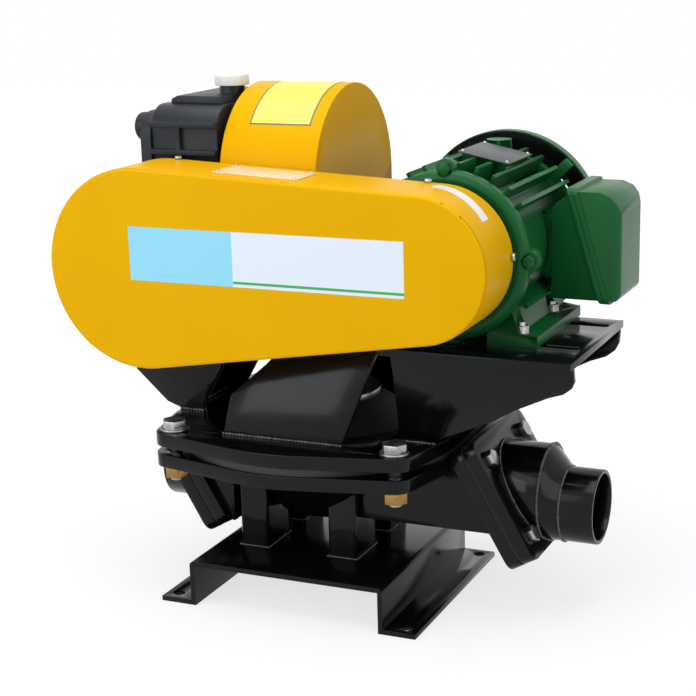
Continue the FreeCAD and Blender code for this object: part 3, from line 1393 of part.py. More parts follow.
def guard_back():
    inset = guard_t + guard_fit
    plate_y = guard_rear_y - 3.0
    shape = loop_solid(guard_big_x, guard_big_z, guard_big_r - inset, guard_small_x, guard_small_z,
                       guard_small_r - inset, plate_y, guard_rear_y)
    shape = shape.cut(rod_y(worm_shaft_r + back_hole_gap, plate_y - 1, guard_rear_y + 1, worm_x, worm_z))
    return shape.cut(rod_y(hub_r + back_hole_gap, plate_y - 1, guard_rear_y + 1, motor_x, motor_z))


save("guard_back_plate", guard_back())

# Guard screws around the rear rim
guard_screws = []
span = math.hypot(guard_small_x - guard_big_x, guard_small_z - guard_big_z)
heading = math.atan2(guard_small_z - guard_big_z, guard_small_x - guard_big_x)
wrap = math.acos((guard_big_r - guard_small_r) / span)
big_end = (guard_big_x, guard_big_z, guard_big_r)
small_end = (guard_small_x, guard_small_z, guard_small_r)
top_a = heading + wrap
big_shift = 8.6
small_shift = -18.6
top_big = (guard_big_x + big_shift * math.sin(top_a), guard_big_z - big_shift * math.cos(top_a),
           guard_big_r)
top_small = (guard_small_x + small_shift * math.sin(top_a), guard_small_z - small_shift * math.cos(top_a),
             guard_small_r)
screw_places = [(*top_big, top_a), (*top_small, top_a), (*small_end, 0.06), (*big_end, math.pi),
                (*big_end, heading - wrap)]
for cx, cz, r, a in screw_places:
    out = Vector(math.cos(a), 0, math.sin(a))
    seat = Vector(cx, guard_rear_y - 4, cz) + out * r
    guard_screws.append(hexagon(8.0, 4.0, seat, out))
save("cover_screws", Part.makeCompound(shield_bolts + guard_screws))

data_plate_edge = math.tan(heading + wrap - math.pi / 2)
top_z0 = guard_big_z + guard_big_r * math.sin(heading + wrap)
top_x0 = guard_big_x + guard_big_r * math.cos(heading + wrap)
data_plate = block(0, 105, guard_front_y + 20, guard_rear_y - 14, 0, 1.2)
data_plate.rotate(Vector(0, 0, 0), Vector(0, 1, 0), -math.degrees(math.atan(data_plate_edge)))
plate_x = -58.0
data_plate.translate(Vector(plate_x, 0, top_z0 + (plate_x - top_x0) * data_plate_edge + 0.02))
save("data_plates", Part.makeCompound([name_plate, data_plate]))
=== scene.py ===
import json
import math

import bmesh
import bpy
from mathutils import Matrix, Vector


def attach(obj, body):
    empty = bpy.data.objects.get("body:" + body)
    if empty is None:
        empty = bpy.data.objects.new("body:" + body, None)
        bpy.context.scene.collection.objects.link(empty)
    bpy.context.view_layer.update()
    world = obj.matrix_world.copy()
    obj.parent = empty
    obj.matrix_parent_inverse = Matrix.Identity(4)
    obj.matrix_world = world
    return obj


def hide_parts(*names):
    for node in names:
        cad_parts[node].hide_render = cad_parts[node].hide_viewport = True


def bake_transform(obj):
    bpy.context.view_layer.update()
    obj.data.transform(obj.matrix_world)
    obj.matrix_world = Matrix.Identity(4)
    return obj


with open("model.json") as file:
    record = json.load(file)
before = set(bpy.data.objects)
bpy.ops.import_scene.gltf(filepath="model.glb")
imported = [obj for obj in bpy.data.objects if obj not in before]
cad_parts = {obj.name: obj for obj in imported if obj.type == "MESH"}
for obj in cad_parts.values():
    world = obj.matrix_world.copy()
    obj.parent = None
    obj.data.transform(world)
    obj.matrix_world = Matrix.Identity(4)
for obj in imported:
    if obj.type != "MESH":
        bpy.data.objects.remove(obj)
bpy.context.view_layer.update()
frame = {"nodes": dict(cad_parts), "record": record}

# Camera.
# It stands front right of the pump and a little above it, with a long lens, and leans a touch to one side.
# Its place is in metres, and its focal length and framing are in the photograph's pixels.
scene = bpy.context.scene
AZIMUTH = math.radians(23.0)
PITCH = math.radians(15.5)
ROLL = math.radians(-1.2)
CAMERA_AT = (0.820, -1.7073, 0.7835)
SENSOR = 36.0
FOCAL_PIXELS = 1602.6
PHOTO_SIDE = 696.0
FRAMED_RIGHT, FRAMED_UP = -50.4, 31.3
look = Vector((-math.sin(AZIMUTH) * math.cos(PITCH), math.cos(AZIMUTH) * math.cos(PITCH), -math.sin(PITCH)))
level = Vector((math.cos(AZIMUTH), math.sin(AZIMUTH), 0.0))
upright = level.cross(look)
side = level * math.cos(ROLL) + upright * math.sin(ROLL)
top = -level * math.sin(ROLL) + upright * math.cos(ROLL)
camera_data = bpy.data.cameras.new("photo_camera")
camera = bpy.data.objects.new("photo_camera", camera_data)
scene.collection.objects.link(camera)
camera.matrix_world = Matrix([(s, t, -v, at) for s, t, v, at in zip(side, top, look, CAMERA_AT)]
                             + [(0.0, 0.0, 0.0, 1.0)])
camera_data.sensor_width = SENSOR
camera_data.lens = FOCAL_PIXELS / PHOTO_SIDE * SENSOR
camera_data.shift_x = FRAMED_RIGHT / PHOTO_SIDE
camera_data.shift_y = FRAMED_UP / PHOTO_SIDE
bpy.context.scene.camera = camera


# Studio.
# White paper on the floor, a white surround that only cameras and reflections see, and four soft boxes:
# high in front, low and bluish in front, above, and at the right.
class Wire:
    """A shader socket that takes part in sums."""

    def __init__(self, tree, socket):
        self.tree = tree
        self.socket = socket

    def join(self, operation, other, swapped=False):
        """One Math node on this value and another, or on the other and this one."""
        node = self.tree.nodes.new("ShaderNodeMath")
        node.operation = operation
        first, second = (other, self) if swapped else (self, other)
        for slot, value in zip(node.inputs, (first, second)):
            if isinstance(value, Wire):
                self.tree.links.new(value.socket, slot)
            else:
                slot.default_value = value
        return Wire(self.tree, node.outputs[0])

    def __add__(self, other):
        return self.join("ADD", other)

    def __radd__(self, other):
        return self.join("ADD", other, True)

    def __sub__(self, other):
        return self.join("SUBTRACT", other)

    def __rsub__(self, other):
        return self.join("SUBTRACT", other, True)

    def __mul__(self, other):
        return self.join("MULTIPLY", other)

    def __rmul__(self, other):
        return self.join("MULTIPLY", other, True)

    def __gt__(self, other):
        return self.join("GREATER_THAN", other)

    def __lt__(self, other):
        return self.join("LESS_THAN", other)


class Finish:
    """A material made node by node, ending in one surface."""

    def __init__(self, name):
        self.material = bpy.data.materials.new(name)
        self.material.use_nodes = True
        self.tree = self.material.node_tree
        self.tree.nodes.clear()
        self.output = self.tree.nodes.new("ShaderNodeOutputMaterial")

    def put(self, kind, settings=None, out=0, **inputs):
        """Any node that isn't a sum. Sockets go by name, with _ for a space, or by number as in i0."""
        node = self.tree.nodes.new("ShaderNode" + kind)
        for name, value in (settings or {}).items():
            setattr(node, name, value)
        for name, value in inputs.items():
            key = int(name[1:]) if name[0] == "i" and name[1:].isdigit() else name.replace("_", " ")
            if isinstance(value, Wire):
                self.tree.links.new(value.socket, node.inputs[key])
            else:
                node.inputs[key].default_value = value
        return Wire(self.tree, node.outputs[out])

    def place(self):
        """The point's place on the pump, in metres."""
        return self.put("TexCoord", out=3)

    def noise(self, scale, detail=3.0, roughness=0.5):
        return self.put("TexNoise", Vector=self.place(), Scale=scale, Detail=detail, Roughness=roughness)

    def blend(self, mask, first, second):
        return self.put("MixRGB", i0=mask, i1=first, i2=second)

    def bump(self, height, strength, distance=0.001):
        return self.put("Bump", Height=height, Strength=strength, Distance=distance)

    def surface(self, **inputs):
        shader = self.put("BsdfPrincipled", **inputs)
        self.tree.links.new(shader.socket, self.output.inputs["Surface"])
        return self.material


PURE_WHITE = (1.0, 1.0, 1.0, 1.0)
FILL_LIGHT = (0.86, 0.92, 1.0, 1.0)
FILL_STRENGTH = 0.42
scene.view_settings.view_transform = "Standard"
world = bpy.data.worlds.new("white_surround")
world.use_nodes = True
scene.world = world
tree = world.node_tree
tree.nodes.clear()
rays, direct, seen, fill, white, mix, output = [tree.nodes.new("ShaderNode" + kind) for kind in (
    "LightPath", "Math", "Math", "Background", "Background", "MixShader", "OutputWorld")]
direct.operation = seen.operation = "MAXIMUM"
fill.inputs["Color"].default_value = FILL_LIGHT
fill.inputs["Strength"].default_value = FILL_STRENGTH
white.inputs["Color"].default_value = PURE_WHITE
for start, end in ((rays.outputs["Is Camera Ray"], direct.inputs[0]),
                   (rays.outputs["Is Glossy Ray"], direct.inputs[1]),
                   (direct.outputs[0], seen.inputs[0]),
                   (rays.outputs["Is Transmission Ray"], seen.inputs[1]),
                   (seen.outputs[0], mix.inputs[0]), (fill.outputs[0], mix.inputs[1]),
                   (white.outputs[0], mix.inputs[2]), (mix.outputs[0], output.inputs["Surface"])):
    tree.links.new(start, end)


def soft_box(name, place, aim, width, height, power, tint=(1.0, 1.0, 1.0)):
    """Rectangular lamp that stands at a place and looks at a point, with its power in watts."""
    data = bpy.data.lights.new(name, "AREA")
    data.shape = "RECTANGLE"
    data.size = width
    data.size_y = height
    data.energy = power
    data.color = tint
    lamp = bpy.data.objects.new(name, data)
    lamp.location = place
    lamp.rotation_euler = (Vector(aim) - Vector(place)).to_track_quat("-Z", "Y").to_euler()
    scene.collection.objects.link(lamp)


soft_box("front_box", place=(-0.7, -2.5, 2.1), aim=(0, 0, 0.35), width=2.4, height=1.2, power=12.0)
soft_box("low_box", place=(-1.2, -2.4, 1.05), aim=(0, 0, 0.27), width=2.0, height=1.3, power=24.0,
         tint=(0.90, 0.95, 1.0))
soft_box("top_box", place=(0.0, -0.3, 2.5), aim=(0, 0, 0.3), width=2.4, height=2.0, power=50.0)
soft_box("right_box", place=(2.4, -0.7, 1.2), aim=(0.1, 0, 0.3), width=1.4, height=1.6, power=12.0)

SHADOW_REACH = 0.4
FADED_FROM = 1.2
GLOW_NEAR_PUMP = 0.66
FLOOR_REACH = 6.0
FLOOR_Z = -0.0005


def pale_floor():
    """White paper that takes the shadow near the pump and fades into the surround farther off."""
    f = Finish("pale_floor")
    path = f.tree.nodes.new("ShaderNodeLightPath")
    direct = Wire(f.tree, path.outputs["Is Camera Ray"]) + Wire(f.tree, path.outputs["Is Glossy Ray"])
    direct = direct + Wire(f.tree, path.outputs["Is Transmission Ray"])
    grain = f.blend(f.noise(40.0), (0.80, 0.80, 0.80, 1.0), (0.84, 0.84, 0.84, 1.0))
    paper = f.put("BsdfDiffuse", Color=grain)
    glow = f.put("Emission", Color=PURE_WHITE, Strength=1.1)
    away = f.put("VectorMath", {"operation": "LENGTH"}, out=1, i0=f.place())
    share = f.put("MapRange", Value=away, i1=SHADOW_REACH, i2=FADED_FROM, i3=GLOW_NEAR_PUMP, i4=1.0)
    mixed = f.put("MixShader", i0=f.put("Clamp", Value=direct) * share, i1=paper, i2=glow)
    f.tree.links.new(mixed.socket, f.output.inputs["Surface"])
    return f.material


floor_mesh = bpy.data.meshes.new("studio_floor")
floor_mesh.from_pydata([(FLOOR_REACH * x, FLOOR_REACH * y, FLOOR_Z)
                        for x, y in ((-1, -1), (1, -1), (1, 1), (-1, 1))], [], [(0, 1, 2, 3)])
floor_mesh.materials.append(pale_floor())
floor = bpy.data.objects.new("studio_floor", floor_mesh)
scene.collection.objects.link(floor)


# Skid, posts, bowl, pipework and the welded frame above them.
# Folded, rolled and welded steel plate and tube, in thick glossy black enamel over the dressed welds.
def colour(red, green, blue):
    """Screen colour from 0 to 255, as the linear value a shader takes."""
    def linear(c):
        c = c / 255.0
        return c / 12.92 if c <= 0.04045 else ((c + 0.055) / 1.055) ** 2.4
    return (linear(red), linear(green), linear(blue), 1.0)


BLACK = colour(8, 9, 10)
BLACK_DUST = colour(26, 28, 30)


def glossy_black():
    """Thick black enamel with orange peel, slow ripples and patches of dust."""
    f = Finish("black_enamel")
    cloud = f.noise(9.0, 4.0)
    peel = f.noise(420.0, 2.0)
    ripple = f.noise(60.0, 2.0)
    dust = f.put("Clamp", Value=(f.noise(26.0, 6.0, 0.7) - 0.56) * 5.0)
    return f.surface(Base_Color=f.blend(dust * 0.35, BLACK, BLACK_DUST),
                     Roughness=cloud * 0.12 + dust * 0.16 + 0.10,
                     Specular_IOR_Level=0.16, Coat_Weight=0.08, Coat_Roughness=0.08,
                     Normal=f.bump(peel * 0.25 + ripple, 0.12, 0.0006))


body_of = {node: body for body, nodes in frame["record"]["behaviour"]["bodies"].items() for node in nodes}
MERGED_WITHIN = 1e-5
FLAT_WITHIN = math.radians(0.6)
SHARP_FROM = math.radians(38.0)
BROKEN_FROM = math.radians(32.0)


def dressed(node, finish, width, segments=2, rigid=True):
    """Copy of a CAD node with its edges broken by a width, which stands in for it."""
    source = frame["nodes"][node]
    mesh = source.data.copy()
    work = bmesh.new()
    work.from_mesh(mesh)
    bmesh.ops.remove_doubles(work, verts=work.verts, dist=MERGED_WITHIN)
    bmesh.ops.dissolve_limit(work, angle_limit=FLAT_WITHIN, verts=work.verts, edges=work.edges)
    work.to_mesh(mesh)
    work.free()
    piece = bpy.data.objects.new("dressed_" + node, mesh)
    scene.collection.objects.link(piece)
    bevel = piece.modifiers.new("broken_edges", "BEVEL")
    bevel.width = width
    bevel.segments = segments
    bevel.limit_method = "ANGLE"
    bevel.angle_limit = BROKEN_FROM
    bevel.use_clamp_overlap = True
    bpy.context.view_layer.update()
    result = bpy.data.meshes.new_from_object(piece.evaluated_get(bpy.context.evaluated_depsgraph_get()))
    piece.modifiers.clear()
    piece.data = result
    result.materials.clear()
    result.materials.append(finish)
    for face in result.polygons:
        face.use_smooth = True
        face.material_index = 0
    result.set_sharp_from_angle(angle=SHARP_FROM)
    if rigid:
        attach(piece, body_of[node])
    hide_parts(node)
    return piece


def partly(piece, finish, chosen):
    """Second finish on the faces that a test of their centre and normal picks."""
    piece.data.materials.append(finish)
    for face in piece.data.polygons:
        if chosen(piece.matrix_world @ face.center, face.normal):
            face.material_index = len(piece.data.materials) - 1


STEELWORK_EDGE = 0.0012
black_enamel = glossy_black()
for node in ("skid", "posts", "bowl", "lower_ring_plate", "upper_ring_plate", "deck_braces",
             "platform_skirts", "gearbox_pedestal", "drive_deck", "motor_platform", "suction_pipe",
             "suction_seat_flange", "suction_chamber_flange", "suction_chamber", "discharge_duct",
             "discharge_seat_flange", "discharge_pipe_flange", "discharge_pipe", "discharge_reducer"):
    dressed(node, black_enamel, STEELWORK_EDGE)


# Bolts, nuts, washers and cover screws.
# Zinc-plated steel, which clamps the ring plates, the pipe flanges, the motor's feet and the covers.
# The nuts under the ring plates are yellow-passivated.
def plated(name, base, worn):
    """Bright plating with duller stains."""
    f = Finish(name)
    stain = f.put("Clamp", Value=(f.noise(160.0, 5.0, 0.6) - 0.42) * 3.0)
    grain = f.noise(900.0, 2.0)
    return f.surface(Base_Color=f.blend(stain, base, worn), Metallic=1.0, Roughness=stain * 0.2 + 0.28,
                     Normal=f.bump(grain, 0.15, 0.0003))


zinc = plated("zinc_plate", colour(170, 172, 172), colour(132, 134, 136))
yellow_zinc = plated("yellow_zinc_plate", colour(158, 122, 62), colour(126, 104, 74))
FASTENER_EDGE = 0.0006
UPPER_WASHERS_FROM = 0.19
for node in ("ring_bolts", "flange_bolts", "motor_foot_bolts"):
    dressed(node, zinc, FASTENER_EDGE)
screws = dressed("cover_screws", zinc, FASTENER_EDGE)
nuts = dressed("ring_nuts_washers", yellow_zinc, FASTENER_EDGE)
partly(nuts, zinc, lambda centre, normal: centre.z > UPPER_WASHERS_FROM)


# Shafts, plunger, flap plates, bearings and worm wheel.
# Turned and ground steel, and a bronze wheel keyed to the crankshaft.
def machined(name, base, rough):
    """Turned metal with fine tool marks."""
    f = Finish(name)
    turned = f.noise(300.0, 3.0)
    darker = tuple(0.8 * c for c in base[:3]) + (1.0,)
    return f.surface(Base_Color=f.blend(f.noise(50.0), base, darker), Metallic=1.0,
                     Roughness=turned * 0.15 + rough, Normal=f.bump(turned, 0.1, 0.0003))


bright_steel = machined("ground_steel", colour(176, 178, 182), 0.25)
bronze = machined("wheel_bronze", colour(184, 140, 78), 0.3)
GROUND_EDGE = 0.0004
CAST_EDGE = 0.0005
MOULDED_EDGE = 0.0004
for node in ("suction_flap_plate", "discharge_flap_plate", "flap_hinge_pins", "clamp_plates",
             "plunger_bolt", "plunger_fork", "gearbox_bearings", "worm_shaft", "crankshaft",
             "motor_bearings", "rotor"):
    dressed(node, bright_steel, GROUND_EDGE)
dressed("worm_wheel", bronze, GROUND_EDGE)


# Pulleys, connecting rod and stator.
# Grey iron castings, left raw outside their bores, and the stator's stacked plates, varnished as dark.
def cast_iron():
    """Grey iron as it leaves the sand."""
    f = Finish("raw_casting")
    sand = f.noise(500.0, 4.0, 0.6)
    return f.surface(Base_Color=f.blend(f.noise(40.0), colour(62, 62, 64), colour(84, 80, 76)), Metallic=0.6,
                     Roughness=sand * 0.2 + 0.45, Normal=f.bump(sand, 0.4, 0.0006))


raw_casting = cast_iron()
for node in ("input_pulley", "motor_pulley", "connecting_rod", "stator"):
    dressed(node, raw_casting, CAST_EDGE)


# Flaps, gaskets, belts and diaphragm.
# Black moulded rubber, clamped between plates and flanges or run over the pulleys.
def black_rubber():
    """Dull moulded rubber."""
    f = Finish("moulded_rubber")
    fine = f.noise(700.0, 3.0)
    return f.surface(Base_Color=f.blend(f.noise(30.0), colour(26, 26, 27), colour(40, 39, 38)),
                     Roughness=fine * 0.15 + 0.62, Normal=f.bump(fine, 0.3, 0.0004))


rubber = black_rubber()
for node in ("flange_gaskets", "suction_flap", "discharge_flap", "drive_belts"):
    dressed(node, rubber, MOULDED_EDGE)
# The diaphragm's rim is clamped by the rings and its raised middle moves with the plunger; this copy follows
# no body and stays as it stands.
membrane = dressed("diaphragm", rubber, MOULDED_EDGE, rigid=False)
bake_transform(membrane)


# Belt guard and crank hood.
# Two-millimetre sheet, rolled, folded and welded, in glossy deep yellow enamel. Small screws hold the
# guard's tray to its back plate.
YELLOW = colour(223, 169, 5)
YELLOW_DEEP = colour(215, 158, 2)
SHEET_EDGE = 0.0006
TRAY_EDGE = 0.0001


def yellow_enamel():
    """Smooth yellow enamel with faint orange peel and sags."""
    f = Finish("yellow_enamel")
    cloud = f.noise(7.0, 3.0)
    peel = f.noise(380.0, 2.0)
    sag = f.noise(14.0, 1.0)
    return f.surface(Base_Color=f.blend(cloud, YELLOW, YELLOW_DEEP), Roughness=cloud * 0.10 + 0.30,
                     Specular_IOR_Level=0.03, Normal=f.bump(peel * 0.15 + sag, 0.10, 0.001))


yellow = yellow_enamel()
for node in ("guard_back_plate", "crank_hood"):
    dressed(node, yellow, SHEET_EDGE)
dressed("belt_guard", yellow, TRAY_EDGE)


# Worm gearbox.
# A sand casting with a bolted side cover, in satin charcoal paint, with a white breather cap.
def charcoal_paint():
    """Satin paint over a sandy casting."""
    f = Finish("charcoal_paint")
    sand = f.noise(240.0, 4.0, 0.6)
    return f.surface(Base_Color=f.blend(f.noise(18.0), colour(22, 26, 31), colour(30, 35, 41)),
                     Roughness=sand * 0.18 + 0.30, Specular_IOR_Level=0.22,
                     Normal=f.bump(sand, 0.35, 0.0007))


HOUSING_EDGE = 0.0018
CAP_EDGE = 0.0008
charcoal = charcoal_paint()
for node in ("gearbox_casing", "gearbox_cover", "gearbox_plugs"):
    dressed(node, charcoal, HOUSING_EDGE, segments=3)


def white_plastic():
    """Moulded white plastic, a little yellowed."""
    f = Finish("white_cap_plastic")
    fine = f.noise(500.0, 2.0)
    return f.surface(Base_Color=f.blend(f.noise(60.0), colour(232, 232, 228), colour(222, 221, 214)),
                     Roughness=fine * 0.1 + 0.4, Normal=f.bump(fine, 0.1, 0.0003))


dressed("filler_cap", white_plastic(), CAP_EDGE)


# Electric motor.
# Cast frame, feet and end shields, a pressed cowl and a terminal box, all in glossy dark green enamel.
# Its plastic fan turns behind the cowl's slots, and its feet bolt to the motor platform.
def green_enamel():
    """Dark green enamel over a sandy casting."""
    f = Finish("green_enamel")
    sand = f.noise(260.0, 4.0, 0.6)
    cloud = f.noise(20.0, 3.0)
    return f.surface(Base_Color=f.blend(cloud, colour(14, 78, 36), colour(20, 90, 42)),
                     Roughness=cloud * 0.14 + 0.24, Specular_IOR_Level=0.14, Coat_Weight=0.03,
                     Coat_Roughness=0.12, Normal=f.bump(sand, 0.30, 0.0006))


MOTOR_EDGE = 0.0014
COWL_EDGE = 0.0003
FAN_EDGE = 0.0005
SHIELD_BOLTS_FROM = -0.085
green = green_enamel()
for node in ("motor_frame", "motor_front_shield", "motor_rear_shield", "terminal_box", "terminal_box_cover"):
    dressed(node, green, MOTOR_EDGE, segments=3)
cowl = dressed("fan_cowl", green, COWL_EDGE)
partly(screws, green, lambda centre, normal: centre.y > SHIELD_BOLTS_FROM)


def black_plastic():
    """Dull plastic of the fan, also used inside the cowl as painted shade."""
    f = Finish("fan_plastic_and_cowl_shade")
    fine = f.noise(400.0, 2.0)
    return f.surface(Base_Color=f.blend(f.noise(30.0), colour(24, 24, 25), colour(34, 34, 35)),
                     Roughness=fine * 0.1 + 0.45, Normal=f.bump(fine, 0.1, 0.0003))


fan_plastic_and_cowl_shade = black_plastic()
dressed("cooling_fan", fan_plastic_and_cowl_shade, FAN_EDGE)
MOTOR_AXIS = Vector((0.185, 0.0, 0.437))
COWL_BACK_FROM = 0.15
FACES_IN = -0.2
FACES_FRONT = -0.6


def faces_axis(centre, normal):
    """True inside the cowl, whose sheet takes the fan's dark plastic as painted shade."""
    outward = Vector((centre.x - MOTOR_AXIS.x, 0.0, centre.z - MOTOR_AXIS.z))
    at_back = normal.y < FACES_FRONT and centre.y > COWL_BACK_FROM
    return at_back or normal.dot(outward.normalized()) < FACES_IN


# Painted shade: the cowl's inner faces take the fan's dark plastic.
partly(cowl, fan_plastic_and_cowl_shade, faces_axis)


# Plates riveted on the motor and the guard.
# Thin anodised aluminium, bare of any marking.
def plate_metal(name, first, second, metallic):
    """Thin anodised plate with a brushed grain."""
    f = Finish(name)
    brushed = f.noise(300.0, 3.0)
    return f.surface(Base_Color=f.blend(f.noise(80.0), first, second), Metallic=metallic,
                     Roughness=brushed * 0.2 + 0.3, Normal=f.bump(brushed, 0.1, 0.0003))


PLATE_EDGE = 0.0003
MOTOR_PLATE_FROM = 0.1
tan_plate = plate_metal("tan_plate", colour(226, 204, 164), colour(214, 190, 150), 0.2)
grey_plate = plate_metal("grey_plate", colour(56, 58, 59), colour(68, 70, 71), 0.1)
plates = dressed("data_plates", tan_plate, PLATE_EDGE)
partly(plates, grey_plate, lambda centre, normal: centre.x > MOTOR_PLATE_FROM)


# Weld beads.
# Stick-weld fillets along the feet of the braces, posts, skirts and pipes, painted over with the steelwork.
def bead_tree(finish):
    """Row of overlapping beads along the edges of a wire."""
    group = bpy.data.node_groups.new("weld_bead", "GeometryNodeTree")
    group.interface.new_socket("Geometry", in_out="INPUT", socket_type="NodeSocketGeometry")
    for name, value in (("Radius", 0.0022), ("Spacing", 0.0026), ("Unevenness", 0.22)):
        group.interface.new_socket(name, in_out="INPUT", socket_type="NodeSocketFloat").default_value = value
    group.interface.new_socket("Seed", in_out="INPUT", socket_type="NodeSocketInt").default_value = 3
    group.interface.new_socket("Geometry", in_out="OUTPUT", socket_type="NodeSocketGeometry")
    new, link = group.nodes.new, group.links.new
    start, end = new("NodeGroupInput"), new("NodeGroupOutput")
    curve, sample = new("GeometryNodeMeshToCurve"), new("GeometryNodeResampleCurve")
    sample.mode = "LENGTH"
    ball = new("GeometryNodeMeshIcoSphere")
    ball.inputs["Subdivisions"].default_value = 2
    place, real = new("GeometryNodeInstanceOnPoints"), new("GeometryNodeRealizeInstances")
    uneven = new("FunctionNodeRandomValue")
    least, most = new("ShaderNodeMath"), new("ShaderNodeMath")
    least.operation, most.operation = "SUBTRACT", "ADD"
    least.inputs[0].default_value = most.inputs[0].default_value = 1.0
    smooth, paint = new("GeometryNodeSetShadeSmooth"), new("GeometryNodeSetMaterial")
    paint.inputs["Material"].default_value = finish
    for source, target in ((start.outputs["Geometry"], curve.inputs[0]),
                           (curve.outputs[0], sample.inputs["Curve"]),
                           (start.outputs["Spacing"], sample.inputs["Length"]),
                           (sample.outputs[0], place.inputs["Points"]),
                           (start.outputs["Radius"], ball.inputs["Radius"]),
                           (ball.outputs["Mesh"], place.inputs["Instance"]),
                           (start.outputs["Unevenness"], least.inputs[1]),
                           (start.outputs["Unevenness"], most.inputs[1]),
                           (least.outputs[0], uneven.inputs[2]), (most.outputs[0], uneven.inputs[3]),
                           (start.outputs["Seed"], uneven.inputs["Seed"]),
                           (uneven.outputs[1], place.inputs["Scale"]),
                           (place.outputs[0], real.inputs[0]), (real.outputs[0], smooth.inputs[0]),
                           (smooth.outputs[0], paint.inputs[0]), (paint.outputs[0], end.inputs[0])):
        link(source, target)
    return group


def wire_mesh(name, runs):
    """Mesh of bare edges through the points of each run, given in millimetres."""
    points, edges = [], []
    for run in runs:
        first = len(points)
        points += [tuple(0.001 * c for c in point) for point in run]
        edges += [(first + i, first + i + 1) for i in range(len(run) - 1)]
    mesh = bpy.data.meshes.new(name)
    mesh.from_pydata(points, edges, [])
    return mesh


def grown(name, mesh, group, values, body):
    """Object that rides on a body, and whose mesh is what a node group makes of a base mesh."""
    piece = bpy.data.objects.new(name, mesh)
    scene.collection.objects.link(piece)
    modifier = piece.modifiers.new(name, "NODES")
    modifier.node_group = group
    sockets = {item.name: item.identifier for item in group.interface.items_tree if item.in_out == "INPUT"}
    for key, value in values.items():
        modifier[sockets[key]] = value
    bpy.context.view_layer.update()
    result = bpy.data.meshes.new_from_object(piece.evaluated_get(bpy.context.evaluated_depsgraph_get()))
    piece.modifiers.clear()
    piece.data = result
    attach(piece, body)
    return piece


PUMP_Y = 15.5
FLANGE_LEAN = math.radians(30.0)


def ring_points(radius, x, z, count=48):
    """Circle round the X direction, in the pump's middle plane."""
    turns = [2.0 * math.pi * i / count for i in range(count + 1)]
    return [(x, PUMP_Y + radius * math.cos(a), z + radius * math.sin(a)) for a in turns]


def seat_points(radius, seat_x, z, thick, count=60):
    """Where a pipe along X meets the face of a leaning flange, which is some way out from its seat."""
    cosine, sine = math.cos(FLANGE_LEAN), math.sin(FLANGE_LEAN)
    turns = [2.0 * math.pi * i / count for i in range(count + 1)]
    return [(seat_x + (thick - radius * math.sin(a) * sine) / cosine, PUMP_Y + radius * math.cos(a),
             z + radius * math.sin(a)) for a in turns]


def weld_enamel():
    """The same black, thick and wet on the ripples of the weld."""
    f = Finish("weld_enamel")
    cloud = f.noise(40.0, 3.0)
    return f.surface(Base_Color=f.blend(cloud, BLACK, BLACK_DUST), Roughness=cloud * 0.08 + 0.12,
                     Specular_IOR_Level=0.6, Coat_Weight=0.4, Coat_Roughness=0.05,
                     Normal=f.bump(f.noise(300.0), 0.1, 0.0003))


POST_X, POST_HALF_X = (-74.6, 44.6), 19.0
POST_Y, POST_HALF_Y = (-35.6, 66.6), 30.0
POST_FOOT_Z = 57.5
bead = bead_tree(weld_enamel())
runs = []
for post_x in POST_X:
    for post_y in POST_Y:
        corners = [(post_x + POST_HALF_X * i, post_y + POST_HALF_Y * j, POST_FOOT_Z)
                   for i, j in ((-1, -1), (1, -1), (1, 1), (-1, 1))]
        runs.append(corners + corners[:1])
runs.append(seat_points(radius=57.4, seat_x=235.7, z=144.0, thick=18.3))
runs.append(seat_points(radius=47.7, seat_x=-154.5, z=130.0, thick=-16.3))
runs.append(ring_points(radius=57.2, x=282.5, z=144.0))
runs.append(ring_points(radius=44.5, x=304.5, z=131.3))
fine_beads = grown("weld_beads", wire_mesh("weld_lines", runs), bead,
                   {"Radius": 0.0019, "Spacing": 0.0026, "Seed": 5}, "frame")
UPPER_RING_TOP = 219.4
BRACE_FEET = (-78.0, 73.0, (-122.3, 153.3))
SKIRT_FEET = (126.0, 171.0, (-80.3, 68.3))
PEDESTAL_FEET = (-179.0, -149.0, (-45.3, 76.3))
bead_z = UPPER_RING_TOP + 0.5
runs = [[(x0, face_y, bead_z), (x1, face_y, bead_z)]
        for x0, x1, faces in (BRACE_FEET, SKIRT_FEET, PEDESTAL_FEET) for face_y in faces]
heavy_beads = grown("deck_weld_beads", wire_mesh("deck_weld_lines", runs), bead,
                    {"Radius": 0.003, "Spacing": 0.0042, "Seed": 8}, "frame")


# Labels on the guard and the hood.
# Thin vinyl: a white panel with a plain coloured block, a lime panel with a dark edge, and a white strip.
def vinyl(name, shader_colour):
    """Smooth vinyl in a colour that a function of the finish gives."""
    f = Finish(name)
    fine = f.noise(200.0, 2.0)
    return f.surface(Base_Color=shader_colour(f), Roughness=fine * 0.08 + 0.28,
                     Normal=f.bump(fine, 0.05, 0.0003))


BLOCK_TO_X = -0.026
BAR_FROM_Z, BAR_TO_Z = 0.4145, 0.4175


def panel_colour(f):
    """Pale panel with a plain blue block at its left and a thin green bar along its foot."""
    block = f.put("SeparateXYZ", Vector=f.place()) < BLOCK_TO_X
    height = f.put("SeparateXYZ", Vector=f.place(), out=2)
    bar = (height < BAR_TO_Z) * (height > BAR_FROM_Z)
    base = f.blend(block, colour(214, 221, 230), colour(136, 204, 226))
    return f.blend(bar * (1.0 - block), base, colour(44, 160, 72))


def plain_white(f):
    """White of the rim strip."""
    return f.blend(f.noise(60.0), colour(222, 220, 222), colour(214, 208, 210))


def lime_colour(f):
    """Yellowish green of the hood's label."""
    return f.blend(f.noise(50.0), colour(212, 222, 52), colour(226, 232, 88))


def dark_edge(f):
    """Dark border of the hood's label."""
    return f.blend(f.noise(60.0), colour(74, 78, 64), colour(90, 94, 76))


FILM_GAP = 0.02
FILM_CORNER = math.radians(40.0)


